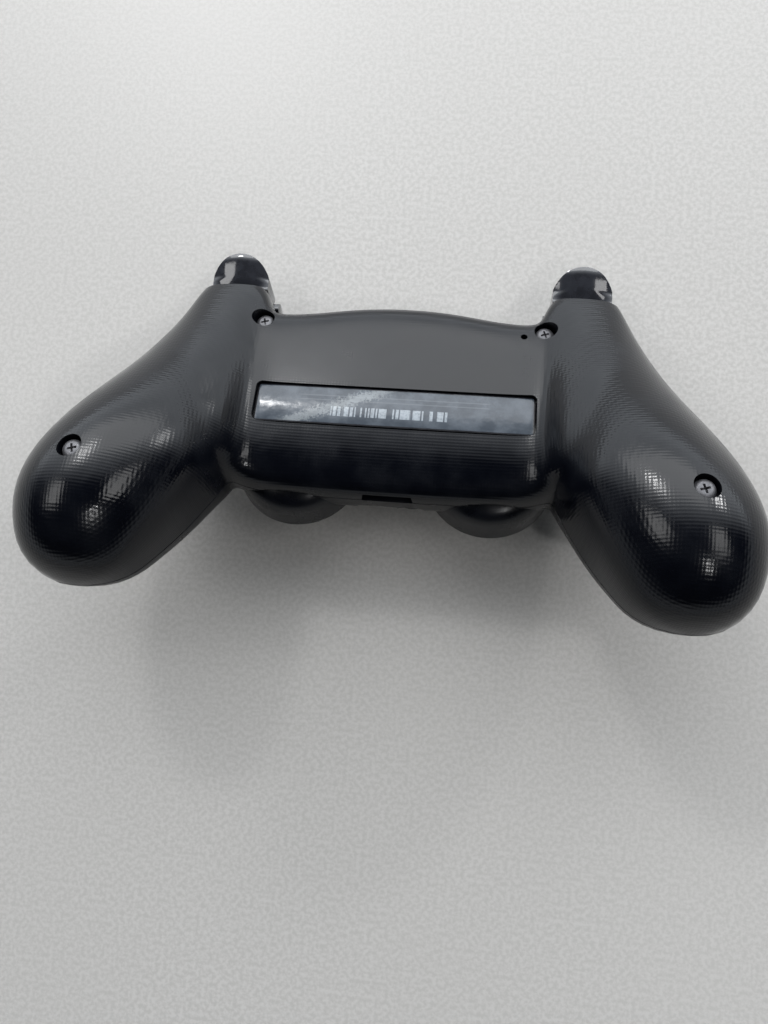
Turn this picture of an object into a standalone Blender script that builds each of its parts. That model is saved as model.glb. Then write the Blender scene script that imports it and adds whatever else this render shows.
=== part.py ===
"""A twin-grip wireless game controller, lying face down, as separate pieces with real joints.

Every piece is drawn in the controller's own frame, in millimetres: z = 0 is the face that carries the
thumbsticks, +z points to the back cover, +y to the triggers, +x to the D-pad side.  The empty
"lying_pose" then tilts that frame so the controller rests on its stick caps and shoulder buttons.
"""

import math

import bmesh
import bpy
import numpy as np
from mathutils import Matrix, Vector

MM = 0.001
NAME = "twin_grip_game_controller"

# ---------------------------------------------------------------- driving dimensions, millimetres
GAP = 0.3                      # clearance between neighbouring pieces
WALL = 1.8                     # moulded wall of both covers
TILT = math.radians(16.7)      # how far the far edge dips when the controller lies face down
RESOLUTION_ALONG, RESOLUTION_ACROSS = 52, 9     # facets of the covers along and across

STICK_X, STICK_Y, STICK_PIVOT_Z = 24.5, -2.0, 8.0
STICK_OPENING_R, SKIRT_R, CAP_R, CAP_TOP_Z = 12.3, 11.6, 10.0, -8.5
BULGE_R, BULGE_WALL = 16.2, 1.6
MODULE = 14.0                  # side of the square stick module

PAD_X, PAD_Y = 43.5, 16.5      # middle of the D-pad and of the four action buttons
DPAD_REACH, DPAD_WIDTH = 10.0, 7.0
BUTTON_R, BUTTON_OFFSET = 4.4, 9.0
MENU_X, MENU_Y, MENU_SIZE = 31.6, 25.3, (3.0, 6.0)
HOME_Y, HOME_R = -1.5, 4.0
TOUCH = (28.0, 11.4, 33.8)     # half width, near edge and far edge of the touchpad

LABEL = (33.8, 0.5, 10.8)      # half width, near edge and far edge of the rating label
LABEL_FLOOR_Z = 21.35
SHOULDER_SCREW = (35.8, 30.3, 19.5)    # the last value is the top of the screw head
GRIP_SCREW = (65.0, -19.5, 42.3)
SCREW_LEAN = {"shoulder": (.29, -.26), "grip": (-.15, -.16)}     # the cover's slope there, outwards and in y
HEAD_R, HEAD_H, SHANK_R, SHANK_L = 2.5, 1.8, 1.0, 9.0
RESET = (30.5, 28.1)

TRIGGER_PIVOT = (38.5, 9.8)    # y, z
TRIGGER_X = (37.9, 53.1)
TRIGGER_SKIRT_R = 8.3
TRIGGER_HEAD_R = 8.2           # the head is a half disc in plan
TRIGGER_ROOT_HALF, TRIGGER_ROOT_Y = 4.9, 42.95     # its narrow root clears the arm's wall when it is pulled
ARM_END_Y = 41.0               # where the shoulder arms are cut off square
MOTOR_X, MOTOR_Z = 54.0, 28.0

# Stations across the right-hand half, from the middle out to the grip: the parting line's near point,
# its far point, then the heights of the back cover and of the face between those two points.
BACK_STEPS = (0, .07, .24, .45, .68, .91, 1)
FACE_STEPS = (0, .09, .28, .5, .72, .91, 1)
STATIONS = (
    ((0, -14.8, 13), (0, 38.3, 9), (16.5, 19.3, 21.6, 22.6, 22.2, 22, 19.5), (6, .6, 0, 0, 0, .6, 5)),
    ((12, -14.8, 13), (12, 37.6, 9), (16.5, 19.3, 21.6, 22.6, 22.2, 22, 19.5), (6, .6, 0, 0, 0, .6, 5)),
    ((23, -14.6, 13), (23, 35.4, 9), (16.5, 19.4, 21.7, 22.6, 22.2, 22, 19.5), (6, .6, 0, 0, 0, .6, 5)),
    ((31, -14.3, 13.3), (31.5, 34.8, 9), (17, 19.8, 21.9, 22.7, 22.3, 21.8, 19.2), (6, .8, 0, 0, 0, .6, 5)),
    ((34.8, -13.8, 13.6), (35, 35.8, 9), (18, 21.6, 23, 23.2, 22.6, 21.6, 19), (6.5, 1.4, 0, 0, 0, .6, 5)),
    ((37.2, -13.1, 14), (36.6, 42, 9.5), (20, 25, 26, 24.8, 23.2, 21, 18.5), (7, 2, 0, 0, 0, .6, 5)),
    ((38.4, -13, 14.6), (41, 47.5, 10), (22, 28.5, 29.6, 27.4, 24, 20.8, 19), (8, 3, .5, 0, 0, .6, 5)),
    ((39.2, -13.8, 15.2), (53, 47.5, 11), (23.5, 30.5, 32, 30.2, 25.6, 20.6, 18.5), (9, 4, 1, .2, .2, .8, 5)),
    ((39.6, -14.6, 15.6), (57.2, 36.5, 12), (24.5, 31.5, 33.5, 32.2, 28, 21.6, 17.5), (9, 4, 1, .3, .5, 2, 6)),
    ((40.2, -16.2, 16), (61, 26.5, 13.5), (25.5, 33, 36, 35.5, 31.5, 24, 18.5), (10, 5.5, 1.8, .8, 1.6, 5, 9)),
    ((41, -18.6, 17), (66.8, 12.5, 16), (26.5, 35, 39, 39.6, 37, 29, 22.5), (11.5, 7.5, 3.5, 2.2, 3.5, 8, 12)),
    ((42.5, -22, 18), (75, -1.5, 19.5), (28, 36, 41.5, 43.6, 42, 34.5, 27), (13, 10, 6.5, 5.2, 6.5, 11.5, 15.5)),
    ((45.5, -28.5, 20), (82.2, -17.3, 23),
     (29.5, 36.5, 43, 45.8, 44.5, 38, 30.5), (15.5, 13.5, 10.5, 9.5, 11, 15.5, 18.5)),
    ((50, -35.8, 22), (82, -32, 25),
     (30.5, 35.5, 41.5, 44.4, 43.5, 38.4, 32.5), (18.5, 17.3, 15.5, 14.8, 15.5, 18.5, 21)),
    ((57, -43, 24), (75.5, -43, 26), (28.5, 31, 34, 35.3, 35, 32.5, 29.5), (22, 21, 20, 19.8, 20, 21.5, 22.5)),
)
GRIP_TIP = (66.4, -44.6, 25.2)


# ---------------------------------------------------------------- scene, materials and small helpers
for old in list(bpy.data.objects):
    bpy.data.objects.remove(old)

PARTS = bpy.data.collections.new(NAME)
CUTTERS = bpy.data.collections.new("cutters")
for group in (PARTS, CUTTERS):
    bpy.context.scene.collection.children.link(group)

lying_pose = bpy.data.objects.new("lying_pose", None)
lying_pose.rotation_euler = (-TILT, 0, 0)
PARTS.objects.link(lying_pose)

FINISHES = {                   # colour, roughness, metallic
    "shell_black": ((.012, .013, .017), .42, 0),
    "gloss_black": ((.008, .009, .012), .12, 0),
    "rubber_black": ((.014, .014, .015), .75, 0),
    "label_film": ((.07, .085, .10), .25, 0),
    "clear_lens": ((.55, .58, .62), .2, 0),
    "screw_steel": ((.10, .10, .11), .35, 1),
    "bright_steel": ((.55, .55, .57), .3, 1),
    "board_green": ((.02, .12, .05), .5, 0),
    "battery_wrap": ((.16, .17, .2), .55, 0),
    "white_plastic": ((.7, .7, .68), .5, 0),
    "brass": ((.6, .42, .16), .35, 1),
}


def finish(obj, slot):
    """Give an object its own material in one of the finishes."""
    colour, roughness, metallic = FINISHES[slot]
    material = bpy.data.materials.new(obj.name + "_" + slot)
    material.use_nodes = True
    shader = material.node_tree.nodes["Principled BSDF"]
    shader.inputs["Base Color"].default_value = (*colour, 1)
    shader.inputs["Roughness"].default_value = roughness
    shader.inputs["Metallic"].default_value = metallic
    obj.data.materials.append(material)


def place(obj, slot):
    """Put an object in the tilted frame: a piece when it has a finish, and a cutter when it has none."""
    obj.parent = lying_pose
    if slot:
        PARTS.objects.link(obj)
        finish(obj, slot)
    else:
        CUTTERS.objects.link(obj)
        obj.display_type = "WIRE"
        obj.hide_render = True
    return obj


def from_bmesh(name, bm, slot=None, pivot=(0, 0, 0)):
    """An object with its origin at pivot, from geometry drawn in the controller's frame in millimetres."""
    bmesh.ops.translate(bm, verts=bm.verts, vec=-Vector(pivot))
    bmesh.ops.scale(bm, verts=bm.verts, vec=(MM, MM, MM))
    bmesh.ops.recalc_face_normals(bm, faces=bm.faces)
    mesh = bpy.data.meshes.new(name)
    bm.to_mesh(mesh)
    bm.free()
    obj = bpy.data.objects.new(name, mesh)
    obj.location = Vector(pivot) * MM
    return place(obj, slot)


def bevel(obj, width, segments=2, angle=35):
    """Round the edges of an object that are sharper than the angle."""
    mod = obj.modifiers.new("bevel", "BEVEL")
    mod.width = width * MM
    mod.segments = segments
    mod.limit_method = "ANGLE"
    mod.angle_limit = math.radians(angle)
    mod.use_clamp_overlap = True
    return obj


def box(name, low, high, slot=None, pivot=(0, 0, 0), rounding=0.0, segments=2):
    """A block between two corners."""
    bm = bmesh.new()
    bmesh.ops.create_cube(bm, size=1)
    low, high = Vector(low), Vector(high)
    bmesh.ops.scale(bm, verts=bm.verts, vec=high - low)
    bmesh.ops.translate(bm, verts=bm.verts, vec=(low + high) / 2)
    obj = from_bmesh(name, bm, slot, pivot)
    if rounding:
        bevel(obj, rounding, segments)
    return obj


def rod(name, start, end, radius, slot=None, pivot=(0, 0, 0), sides=24, end_radius=None):
    """A cylinder, or a cone frustum, between two points."""
    start, end = Vector(start), Vector(end)
    turn = (end - start).to_track_quat("Z", "Y").to_matrix().to_4x4()
    bm = bmesh.new()
    bmesh.ops.create_cone(bm, cap_ends=True, segments=sides, radius1=radius,
                          radius2=radius if end_radius is None else end_radius,
                          depth=(end - start).length,
                          matrix=Matrix.Translation((start + end) / 2) @ turn)
    return from_bmesh(name, bm, slot, pivot)


def rods(name, ends, radius, sides=10):
    """One cutter made of many parallel-sided cylinders, each between two points."""
    bm = bmesh.new()
    for start, end in ends:
        start, end = Vector(start), Vector(end)
        turn = (end - start).to_track_quat("Z", "Y").to_matrix().to_4x4()
        bmesh.ops.create_cone(bm, cap_ends=True, segments=sides, radius1=radius, radius2=radius,
                              depth=(end - start).length,
                              matrix=Matrix.Translation((start + end) / 2) @ turn)
    return from_bmesh(name, bm)


def turned(name, profile, centre, slot=None, pivot=None, steps=32):
    """A body turned about z through centre; the profile (radius, z) runs from its top to its bottom."""
    pivot = Vector((centre[0], centre[1], 0)) if pivot is None else Vector(pivot)
    bm = bmesh.new()
    row = [bm.verts.new((radius, 0, z - pivot.z)) for radius, z in profile]
    for a, b in zip(row, row[1:]):
        bm.edges.new((a, b))
    bmesh.ops.scale(bm, verts=bm.verts, vec=(MM, MM, MM))
    mesh = bpy.data.meshes.new(name)
    bm.to_mesh(mesh)
    bm.free()
    obj = bpy.data.objects.new(name, mesh)
    obj.location = pivot * MM
    screw = obj.modifiers.new("turn", "SCREW")
    screw.angle = 2 * math.pi
    screw.steps = screw.render_steps = steps
    screw.use_merge_vertices = True
    screw.merge_threshold = 0.00001
    return place(obj, slot)


PLANES = {
    "XY": Matrix.Identity(4),
    "YZ": Matrix(((0, 0, 1, 0), (1, 0, 0, 0), (0, 1, 0, 0), (0, 0, 0, 1))),
    "XZ": Matrix(((1, 0, 0, 0), (0, 0, -1, 0), (0, 1, 0, 0), (0, 0, 0, 1))),
}


def curve_to_bmesh(name, curve):
    """A curve as the viewport draws it, with its loose caps welded on."""
    drawn = bpy.data.objects.new(name + "_curve", curve)
    bpy.context.scene.collection.objects.link(drawn)
    bpy.context.view_layer.update()
    evaluated = drawn.evaluated_get(bpy.context.evaluated_depsgraph_get())
    mesh = bpy.data.meshes.new_from_object(evaluated)
    bpy.data.objects.remove(drawn)
    bm = bmesh.new()
    bm.from_mesh(mesh)
    bmesh.ops.remove_doubles(bm, verts=bm.verts, dist=0.002)
    return bm


def prism(name, outline, plane, near, far, slot=None, pivot=(0, 0, 0), rounding=0.0):
    """A flat outline in one plane, extruded across it from near to far, as a mesh."""
    curve = bpy.data.curves.new(name, "CURVE")
    curve.dimensions = "2D"
    curve.fill_mode = "BOTH"
    curve.extrude = (far - near) / 2 - rounding
    curve.bevel_depth = rounding
    curve.bevel_resolution = 1
    curve.offset = -rounding
    spline = curve.splines.new("POLY")
    spline.points.add(len(outline) - 1)
    for point, (a, b) in zip(spline.points, outline):
        point.co = (a, b, 0, 1)
    spline.use_cyclic_u = True
    bm = curve_to_bmesh(name, curve)
    middle = (near + far) / 2 * (-1 if plane == "XZ" else 1)
    bmesh.ops.translate(bm, verts=bm.verts, vec=(0, 0, middle))
    bmesh.ops.transform(bm, verts=bm.verts, matrix=PLANES[plane])
    return from_bmesh(name, bm, slot, pivot)


def arc(centre, radius, start, end, count):
    """Points on a circle between two angles in degrees."""
    angles = np.radians(np.linspace(start, end, count))
    return [(centre[0] + radius * math.cos(a), centre[1] + radius * math.sin(a)) for a in angles]


def rounded(half_x, low_y, high_y, radius, count=5):
    """The outline of a rectangle with round corners, about x = 0."""
    corners = ((half_x - radius, low_y + radius, -90), (half_x - radius, high_y - radius, 0),
               (radius - half_x, high_y - radius, 90), (radius - half_x, low_y + radius, 180))
    return [p for x, y, a in corners for p in arc((x, y), radius, a, a + 90, count)]


def boolean(obj, kind, *tools):
    """Cut, join or intersect an object with others, in the order given."""
    for tool in tools:
        mod = obj.modifiers.new(tool.name, "BOOLEAN")
        mod.operation = kind
        mod.solver = "EXACT"
        mod.object = tool
    return obj


def cut(obj, *tools):
    return boolean(obj, "DIFFERENCE", *tools)


def join(obj, *tools):
    return boolean(obj, "UNION", *tools)


SIDES = (("left", 1), ("right", -1))       # the controller's own left is at +x


# ---------------------------------------------------------------- the moulded form of the two covers
def control_rows(cover, inset):
    """The control net of one cover, from one grip tip across to the other, inset for the space inside."""
    steps = BACK_STEPS if cover == "back" else FACE_STEPS
    half = []
    for near, far, back, face in STATIONS:
        near, far = np.array(near, float), np.array(far, float)
        inward = np.append((far - near)[:2], 0)
        inward *= inset / np.linalg.norm(inward)
        near, far = near + inward, far - inward
        heights = np.subtract(back, inset) if cover == "back" else np.add(face, inset)
        row = [near]
        for step, height in zip(steps, heights):
            x, y = (near + (far - near) * step)[:2]
            row.append(np.array((x, y, height)))
        row.append(far)
        half.append(row)
    half.append([np.array(GRIP_TIP, float) + (0, inset, 0)] * len(half[0]))
    half = np.array(half)
    mirrored = half[:0:-1] * np.array((-1, 1, 1))
    return np.concatenate((mirrored, half))


def spline_weights(count, samples):
    """Clamped cubic B-spline weights of each control point at evenly spaced samples."""
    degree = 3
    knots = np.concatenate((np.zeros(degree), np.linspace(0, 1, count - degree + 1), np.ones(degree)))
    at = np.linspace(0, 1, samples + 1)
    inside = np.minimum(at, 1 - 1e-9)[:, None]
    weights = ((inside >= knots[:-1]) & (inside < knots[1:])).astype(float)
    for d in range(1, degree + 1):
        rise, fall = knots[d:-1] - knots[:-d - 1], knots[d + 1:] - knots[1:-d]
        up = np.divide(inside - knots[:-d - 1], rise, out=np.zeros((len(at), len(rise))), where=rise > 0)
        down = np.divide(knots[d + 1:] - inside, fall, out=np.zeros((len(at), len(fall))), where=fall > 0)
        weights = up * weights[:, :-1] + down * weights[:, 1:]
    return weights


def cover_points(cover, inset=0.0):
    """A grid of points on one cover's surface: rows run from the near edge to the far edge."""
    net = control_rows(cover, inset)
    return np.einsum("ui,vj,ijk->uvk", spline_weights(len(net), RESOLUTION_ALONG),
                     spline_weights(net.shape[1], RESOLUTION_ACROSS), net)


def cover_shell(name, cover, side):
    """One cover: its outer and inner surfaces, joined along the parting line half a gap away from it."""
    bm = bmesh.new()
    outer, inner = ([[bm.verts.new(p + (0, 0, side * GAP / 2)) for p in row] for row in cover_points(cover, inset)]
                    for inset in (0, WALL))
    last = len(outer[0]) - 1
    for i in range(len(outer) - 1):
        for grid in (outer, inner):
            for j in range(last):
                bm.faces.new((grid[i][j], grid[i + 1][j], grid[i + 1][j + 1], grid[i][j + 1]))
        for rim in (0, last):
            bm.faces.new((outer[i][rim], outer[i + 1][rim], inner[i + 1][rim], inner[i][rim]))
    bmesh.ops.remove_doubles(bm, verts=bm.verts, dist=0.001)
    bmesh.ops.dissolve_degenerate(bm, edges=bm.edges, dist=0.001)
    bmesh.ops.triangulate(bm, faces=bm.faces)      # flat faces, so that cuts through them stay exact
    return from_bmesh(name, bm, "shell_black")


def bulge_profile(grow, base):
    """The outline of a stick's round housing: an upright wall that closes over in a dome."""
    return [(0, 15 + grow), (7.5, 15 + grow), (11.6 + grow, 14.3 + grow), (14.2 + grow, 12.9 + grow),
            (15.6 + grow, 11.2 + grow), (BULGE_R + grow, 9.2), (BULGE_R + grow, base)]


def bulge_space(name, side, grow, base):
    """A solid of the stick housing's form, grown or shrunk, for cutting."""
    return turned(name, bulge_profile(grow, base) + [(0, base)], (side * STICK_X, STICK_Y), steps=28)


def bulge_wall(name, side):
    """The wall of a stick's round housing where it stands out of the near edge."""
    outside = bulge_profile(0, 1.6) + [(BULGE_R - 1.2, .25)]
    inside = bulge_profile(-BULGE_WALL, .25)
    wall = turned(name, outside + inside[::-1], (side * STICK_X, STICK_Y), steps=28)
    return cut(wall, box(name + "_inner_part", (side * STICK_X - 20, -9.4, -5), (side * STICK_X + 20, 30, 30)))


def arm_end(name, side):
    """The cutter that squares off a shoulder arm where the trigger leaves it."""
    cutter = box(name, (-14, 0, -40), (14, 20, 60))
    cutter.location = Vector((side * 46.5, ARM_END_Y - 0.2, 0)) * MM
    cutter.rotation_euler = (0, 0, -side * math.radians(2.5))
    return cutter


# ---------------------------------------------------------------- covers
def screw_places():
    """Every case screw: its name, the side it is on, and where the top of its head is."""
    return [(side_name + "_" + kind, (side * x, y, z))
            for kind, (x, y, z) in (("shoulder", SHOULDER_SCREW), ("grip", GRIP_SCREW))
            for side_name, side in SIDES]


def screw_boss(name, x, y, top, radius, lean):
    """A boss under a screw's well, its upper end leaning with the cover that it grows from."""
    low, high = top - 5.4, top + .9
    bm = bmesh.new()
    bmesh.ops.create_cone(bm, cap_ends=True, segments=24, radius1=radius, radius2=radius, depth=high - low,
                          matrix=Matrix.Translation((x, y, (low + high) / 2)))
    for vert in bm.verts:
        if vert.co.z > top:
            vert.co.z += lean[0] * (abs(vert.co.x) - abs(x)) + lean[1] * (vert.co.y - y)
    return from_bmesh(name, bm)


def back_shell():
    """The back cover, with its screw bosses, label recess, port notch and openings."""
    cover = cover_shell("back_shell", "back", 1)
    for name, (x, y, top) in screw_places():
        join(cover, screw_boss(name + "_boss", x, y, top, 3.9, SCREW_LEAN[name.split("_")[1]]))
    for name, (x, y, top) in screw_places():
        seat = top - HEAD_H - GAP
        cut(cover, rod(name + "_well", (x, y, seat), (x, y, top + 9), HEAD_R + GAP),
            rod(name + "_hole", (x, y, top - 30), (x, y, top), SHANK_R + GAP, sides=16))
    half, near, far = LABEL
    cut(cover, prism("label_recess", rounded(half + .25, near - .25, far + .25, 1.6), "XY", LABEL_FLOOR_Z, 30))
    cut(cover, rod("reset_hole", (*RESET, 10), (*RESET, 30), .85, sides=16))
    cut(cover, prism("port_notch", ((-7.4, 8), (7.4, 8), (5.8, 15.4), (-5.8, 15.4)), "XZ", -30, -11))
    cut(cover, box("charge_opening", (-4.4, 30, 10.2), (4.4, 45, 14.0), rounding=.6))
    for name, side in SIDES:
        cut(cover, bulge_space(name + "_bulge_clearance", side, GAP, -4), arm_end(name + "_arm_end", side))
    return cover


def cross(name, x, y, half, width, low, high):
    """Two crossing blocks, as cutters."""
    return (box(name + "_x", (x - half, y - width, low), (x + half, y + width, high)),
            box(name + "_y", (x - width, y - half, low), (x + width, y + half, high)))


def action_places():
    """The four action buttons' middles, by where each one sits."""
    return {"north": (-PAD_X, PAD_Y + BUTTON_OFFSET), "east": (-PAD_X + BUTTON_OFFSET, PAD_Y),
            "south": (-PAD_X, PAD_Y - BUTTON_OFFSET), "west": (-PAD_X - BUTTON_OFFSET, PAD_Y)}


def front_shell():
    """The face cover, with its stick bulges, posts, cradles and every opening for a control."""
    cover = cover_shell("front_shell", "face", -1)
    for name, side in SIDES:
        join(cover, bulge_wall(name + "_bulge", side))
        cut(cover, bulge_space(name + "_bulge_room", side, -BULGE_WALL - .05, 2.1))
        cut(cover, rod(name + "_stick_opening", (side * STICK_X, STICK_Y, -9),
                       (side * STICK_X, STICK_Y, 4), STICK_OPENING_R, sides=28))
        x, y, top = side * GRIP_SCREW[0], GRIP_SCREW[1], GRIP_SCREW[2]
        join(cover, rod(name + "_grip_post", (x, y, 11.4), (x, y, top - 5.4 - GAP), 2.9),
             box(name + "_cradle", (side * MOTOR_X - 4, -11, 4.2), (side * MOTOR_X + 4, -4, MOTOR_Z - 1)))
        cut(cover, rod(name + "_cradle_bed", (side * MOTOR_X, -20, MOTOR_Z), (side * MOTOR_X, 5, MOTOR_Z),
                       5.8 + GAP, sides=32))
        x, y, top = side * SHOULDER_SCREW[0], SHOULDER_SCREW[1], SHOULDER_SCREW[2]
        join(cover, rod(name + "_shoulder_post", (x, y, 1.0), (x, y, top - 5.4 - GAP), 2.9))
        cut(cover, arm_end(name + "_arm_end_face", side))
    for name, (x, y, top) in screw_places():
        cut(cover, rod(name + "_pilot", (x, y, top - 14), (x, y, top), SHANK_R + GAP, sides=16))
    cut(cover, *cross("dpad_window", PAD_X, PAD_Y, DPAD_REACH + .4, DPAD_WIDTH / 2 + .4, -6, 6))
    for name, (x, y) in action_places().items():
        cut(cover, rod(name + "_window", (x, y, -6), (x, y, 8), BUTTON_R + .3, sides=20))
    half, near, far = TOUCH
    cut(cover, prism("touch_window", rounded(half + .3, near - .3, far + .3, 1.4), "XY", -6, 3.2))
    for name, side in SIDES:
        w, h = MENU_SIZE[0] / 2 + .3, MENU_SIZE[1] / 2 + .3
        x = side * MENU_X
        cut(cover, box(name + "_menu_window", (x - w, MENU_Y - h, -6), (x + w, MENU_Y + h, 5), rounding=1.2))
    cut(cover, rod("home_window", (0, HOME_Y, -6), (0, HOME_Y, 3.2), HOME_R + .3))
    cut(cover, rods("speaker_holes", [((x, y, -4), (x, y, 3.0)) for x in (-5, -3, -1, 1, 3, 5)
                                      for y in (5.6, 7.7)], .55, sides=8))
    cut(cover, box("extension_opening", (-7.9, -20, 3.3), (2.1, -6, 8.5), rounding=.5),
        rod("jack_opening", (5.5, -20, 5.9), (5.5, -5.5, 5.9), 3.3))
    cut(cover, box("light_slot", (-14.3, 31, 3.2), (14.3, 45, 7.2), rounding=.6))
    return cover


def case_screws():
    """The four pan-head screws that close the case, each with a cross recess."""
    for name, (x, y, top) in screw_places():
        low = top - HEAD_H
        profile = [(0, top), (1.5, top), (2.2, top - .45), (HEAD_R, top - 1.1), (HEAD_R, low),
                   (SHANK_R, low), (SHANK_R, low - SHANK_L + .8), (0, low - SHANK_L)]
        screw = turned(name + "_screw", profile, (x, y), "screw_steel", steps=16)
        cut(screw, *cross(name + "_recess", x, y, 1.45, .32, top - 1, top + 1))


def rating_label():
    """The plate in the back cover's recess."""
    half, near, far = LABEL
    prism("rating_label", rounded(half, near, far, 1.4), "XY", LABEL_FLOOR_Z + GAP, LABEL_FLOOR_Z + .75,
          "label_film")


# ---------------------------------------------------------------- shoulder buttons and triggers
def trigger_bracket(name, side):
    """The frame behind each arm that carries the trigger's pin and guides the shoulder button."""
    y, z = TRIGGER_PIVOT
    sx = lambda a, b: sorted((side * a, side * b))
    (a, b), (c, d), (e, f) = sx(40, 52.6), sx(39.6, 41.3), sx(50.9, 52.6)
    frame = box(name + "_trigger_bracket", (a, 31.2, 7.4), (b, 33.2, 13.5), "white_plastic")
    cheeks = [box(name + "_cheek_" + str(i), (p, 32.9, 7.9), (q, y + 2, 12), rounding=.8)
              for i, (p, q) in enumerate(((c, d), (e, f)))]
    pin = rod(name + "_pin", (side * 40.4, y, z), (side * 51.8, y, z), 1.0, sides=16)
    return join(frame, *cheeks, pin)


def trigger(name, side):
    """The analogue trigger: hub, web, curved skirt under the arm, and the flared head."""
    y, z = TRIGGER_PIVOT
    pivot = (side * (TRIGGER_X[0] + TRIGGER_X[1]) / 2, y, z)
    low, high = sorted((side * TRIGGER_X[0], side * TRIGGER_X[1]))
    skirt = arc((y, z), TRIGGER_SKIRT_R, 62, 100, 7) + arc((y, z), TRIGGER_SKIRT_R - 1.5, 100, 62, 7)
    head = arc((y, z), TRIGGER_SKIRT_R, 66, 56, 3) + [
        (45.4, 18.1), (48.2, 19.3), (50.2, 20.1), (51.5, 20.2), (51.8, 19.6), (50.4, 17.6),
        (48.7, 14.8), (47.3, 11.8), (46.6, 9.6), (45.6, 9.1), (42.4, 9.3), (42.2, 12.2), (41.6, 15.6)]
    web = [(44.5, 9.6), (44.5, 16)] + arc((y, z), TRIGGER_SKIRT_R - .7, 60, 84, 4) + [(37.6, 13.4)] \
        + arc((y, z), 2.4, 140, 300, 9)
    body = prism(name, head, "YZ", low, high, "gloss_black", pivot, rounding=.45)
    middle = (TRIGGER_X[0] + TRIGGER_X[1]) / 2
    half, root, root_y = TRIGGER_HEAD_R, TRIGGER_ROOT_HALF, TRIGGER_ROOT_Y
    plan = arc((side * middle, root_y + .35), half, 0, 180, 25)
    plan += [(side * middle + x, y) for x, y in ((-half, root_y), (-root, root_y), (-root, 20), (root, 20),
                                                 (root, root_y), (half, root_y))]
    boolean(body, "INTERSECT", prism(name + "_plan", plan, "XY", -5, 40))
    a, b = sorted((side * 42.3, side * 47.0))
    c, d = sorted((side * (TRIGGER_X[0] + 2.8), side * (TRIGGER_X[1] - 2.7)))
    join(body, prism(name + "_skirt", skirt, "YZ", c, d), prism(name + "_web", web, "YZ", a, b))
    return cut(body, rod(name + "_bore", (side * 30, y, z), (side * 60, y, z), 1.3, sides=16))


def trigger_spring(name, side):
    """The torsion spring that wraps the trigger's pin between the web and the outer cheek."""
    y, z = TRIGGER_PIVOT
    turns, per_turn, radius = 2.5, 10, 1.75
    count = int(turns * per_turn)
    points = [(side * (47.6 + 2.6 * i / count), y + radius * math.cos(2 * math.pi * i / per_turn),
               z + radius * math.sin(2 * math.pi * i / per_turn)) for i in range(count + 1)]
    points = [(points[0][0], y + radius, z - 1.2)] + points + [(points[-1][0], y - radius, z + 2.6)]
    curve = bpy.data.curves.new(name, "CURVE")
    curve.dimensions = "3D"
    curve.bevel_depth = .28
    curve.bevel_resolution = 0
    curve.use_fill_caps = True
    spline = curve.splines.new("POLY")
    spline.points.add(len(points) - 1)
    for point, co in zip(spline.points, points):
        point.co = (*co, 1)
    return from_bmesh(name, curve_to_bmesh(name, curve), "bright_steel")


def shoulder_button(name, side):
    """The short button below each trigger: a rounded bar on a sliding stem."""
    low, high = sorted((side * 36.4, side * 54.4))
    nose = [(42.3, 2.6), (43.3, 2.1), (44.6, 3), (45.4, 4.8), (45.4, 6.8), (44.6, 8.1), (43.4, 8.5), (42.3, 8.4)]
    bar = prism(name, nose, "YZ", low, high, "gloss_black", (side * 45.4, 40, 5.3), rounding=.4)
    a, b = sorted((side * 41.4, side * 48.4))
    return join(bar, box(name + "_stem", (a, 35.6, 4.9), (b, 43.6, 6.7)))


def shoulders():
    """Both shoulders with all their pieces."""
    for name, side in SIDES:
        trigger_bracket(name, side)
        trigger(name + "_trigger", side)
        trigger_spring(name + "_trigger_spring", side)
        shoulder_button(name + "_shoulder_button", side)
        low, high = sorted((side * 42.2, side * 47.2))
        box(name + "_trigger_pad", (low, 33.5, 13.9), (high, 34.6, 17), "rubber_black", rounding=.4)


# ---------------------------------------------------------------- thumbsticks
def stick_module(name, side):
    """The open-topped box that holds one stick's yokes."""
    x, y, half = side * STICK_X, STICK_Y, MODULE / 2
    body = box(name + "_module", (x - half, y - half, 5.4), (x + half, y + half, 11.7), "bright_steel")
    cut(body, box(name + "_module_room", (x - half + .8, y - half + .8, 0), (x + half - .8, y + half - .8, 10.9)))
    for i, (dx, dy) in enumerate(((1, 0), (0, 1))):
        reach = Vector((9 if dx else 1.6, 9 if dy else 1.6, 1.9))
        middle = Vector((x, y, STICK_PIVOT_Z))
        cut(body, box(name + "_module_window_" + str(i), middle - reach, middle + reach))


def stick_click_lever(name, side):
    """The square frame that the stick presses down to click."""
    x, y = side * STICK_X, STICK_Y
    body = box(name + "_click_lever", (x - 5.5, y - 5.5, 9.9), (x + 5.5, y + 5.5, 10.4), "white_plastic",
               (x, y, STICK_PIVOT_Z))
    cut(body, box(name + "_lever_window", (x - 3.6, y - 3.6, 8), (x + 3.6, y + 3.6, 12)))


def stick_lower_yoke(name, side):
    """The yoke that turns about x, with a slot for the shaft."""
    x, y, z = side * STICK_X, STICK_Y, STICK_PIVOT_Z
    body = box(name + "_lower_yoke", (x - 4.2, y - 2.1, z - 1.3), (x + 4.2, y + 2.1, z + 1.3), "white_plastic",
               (x, y, z), rounding=.3)
    join(body, rod(name + "_yoke_pins", (x - 6.8, y, z), (x + 6.8, y, z), .9, sides=16))
    cut(body, box(name + "_yoke_slot", (x - 2.6, y - 1.4, z - 4), (x + 2.6, y + 1.4, z + 4)))


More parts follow.
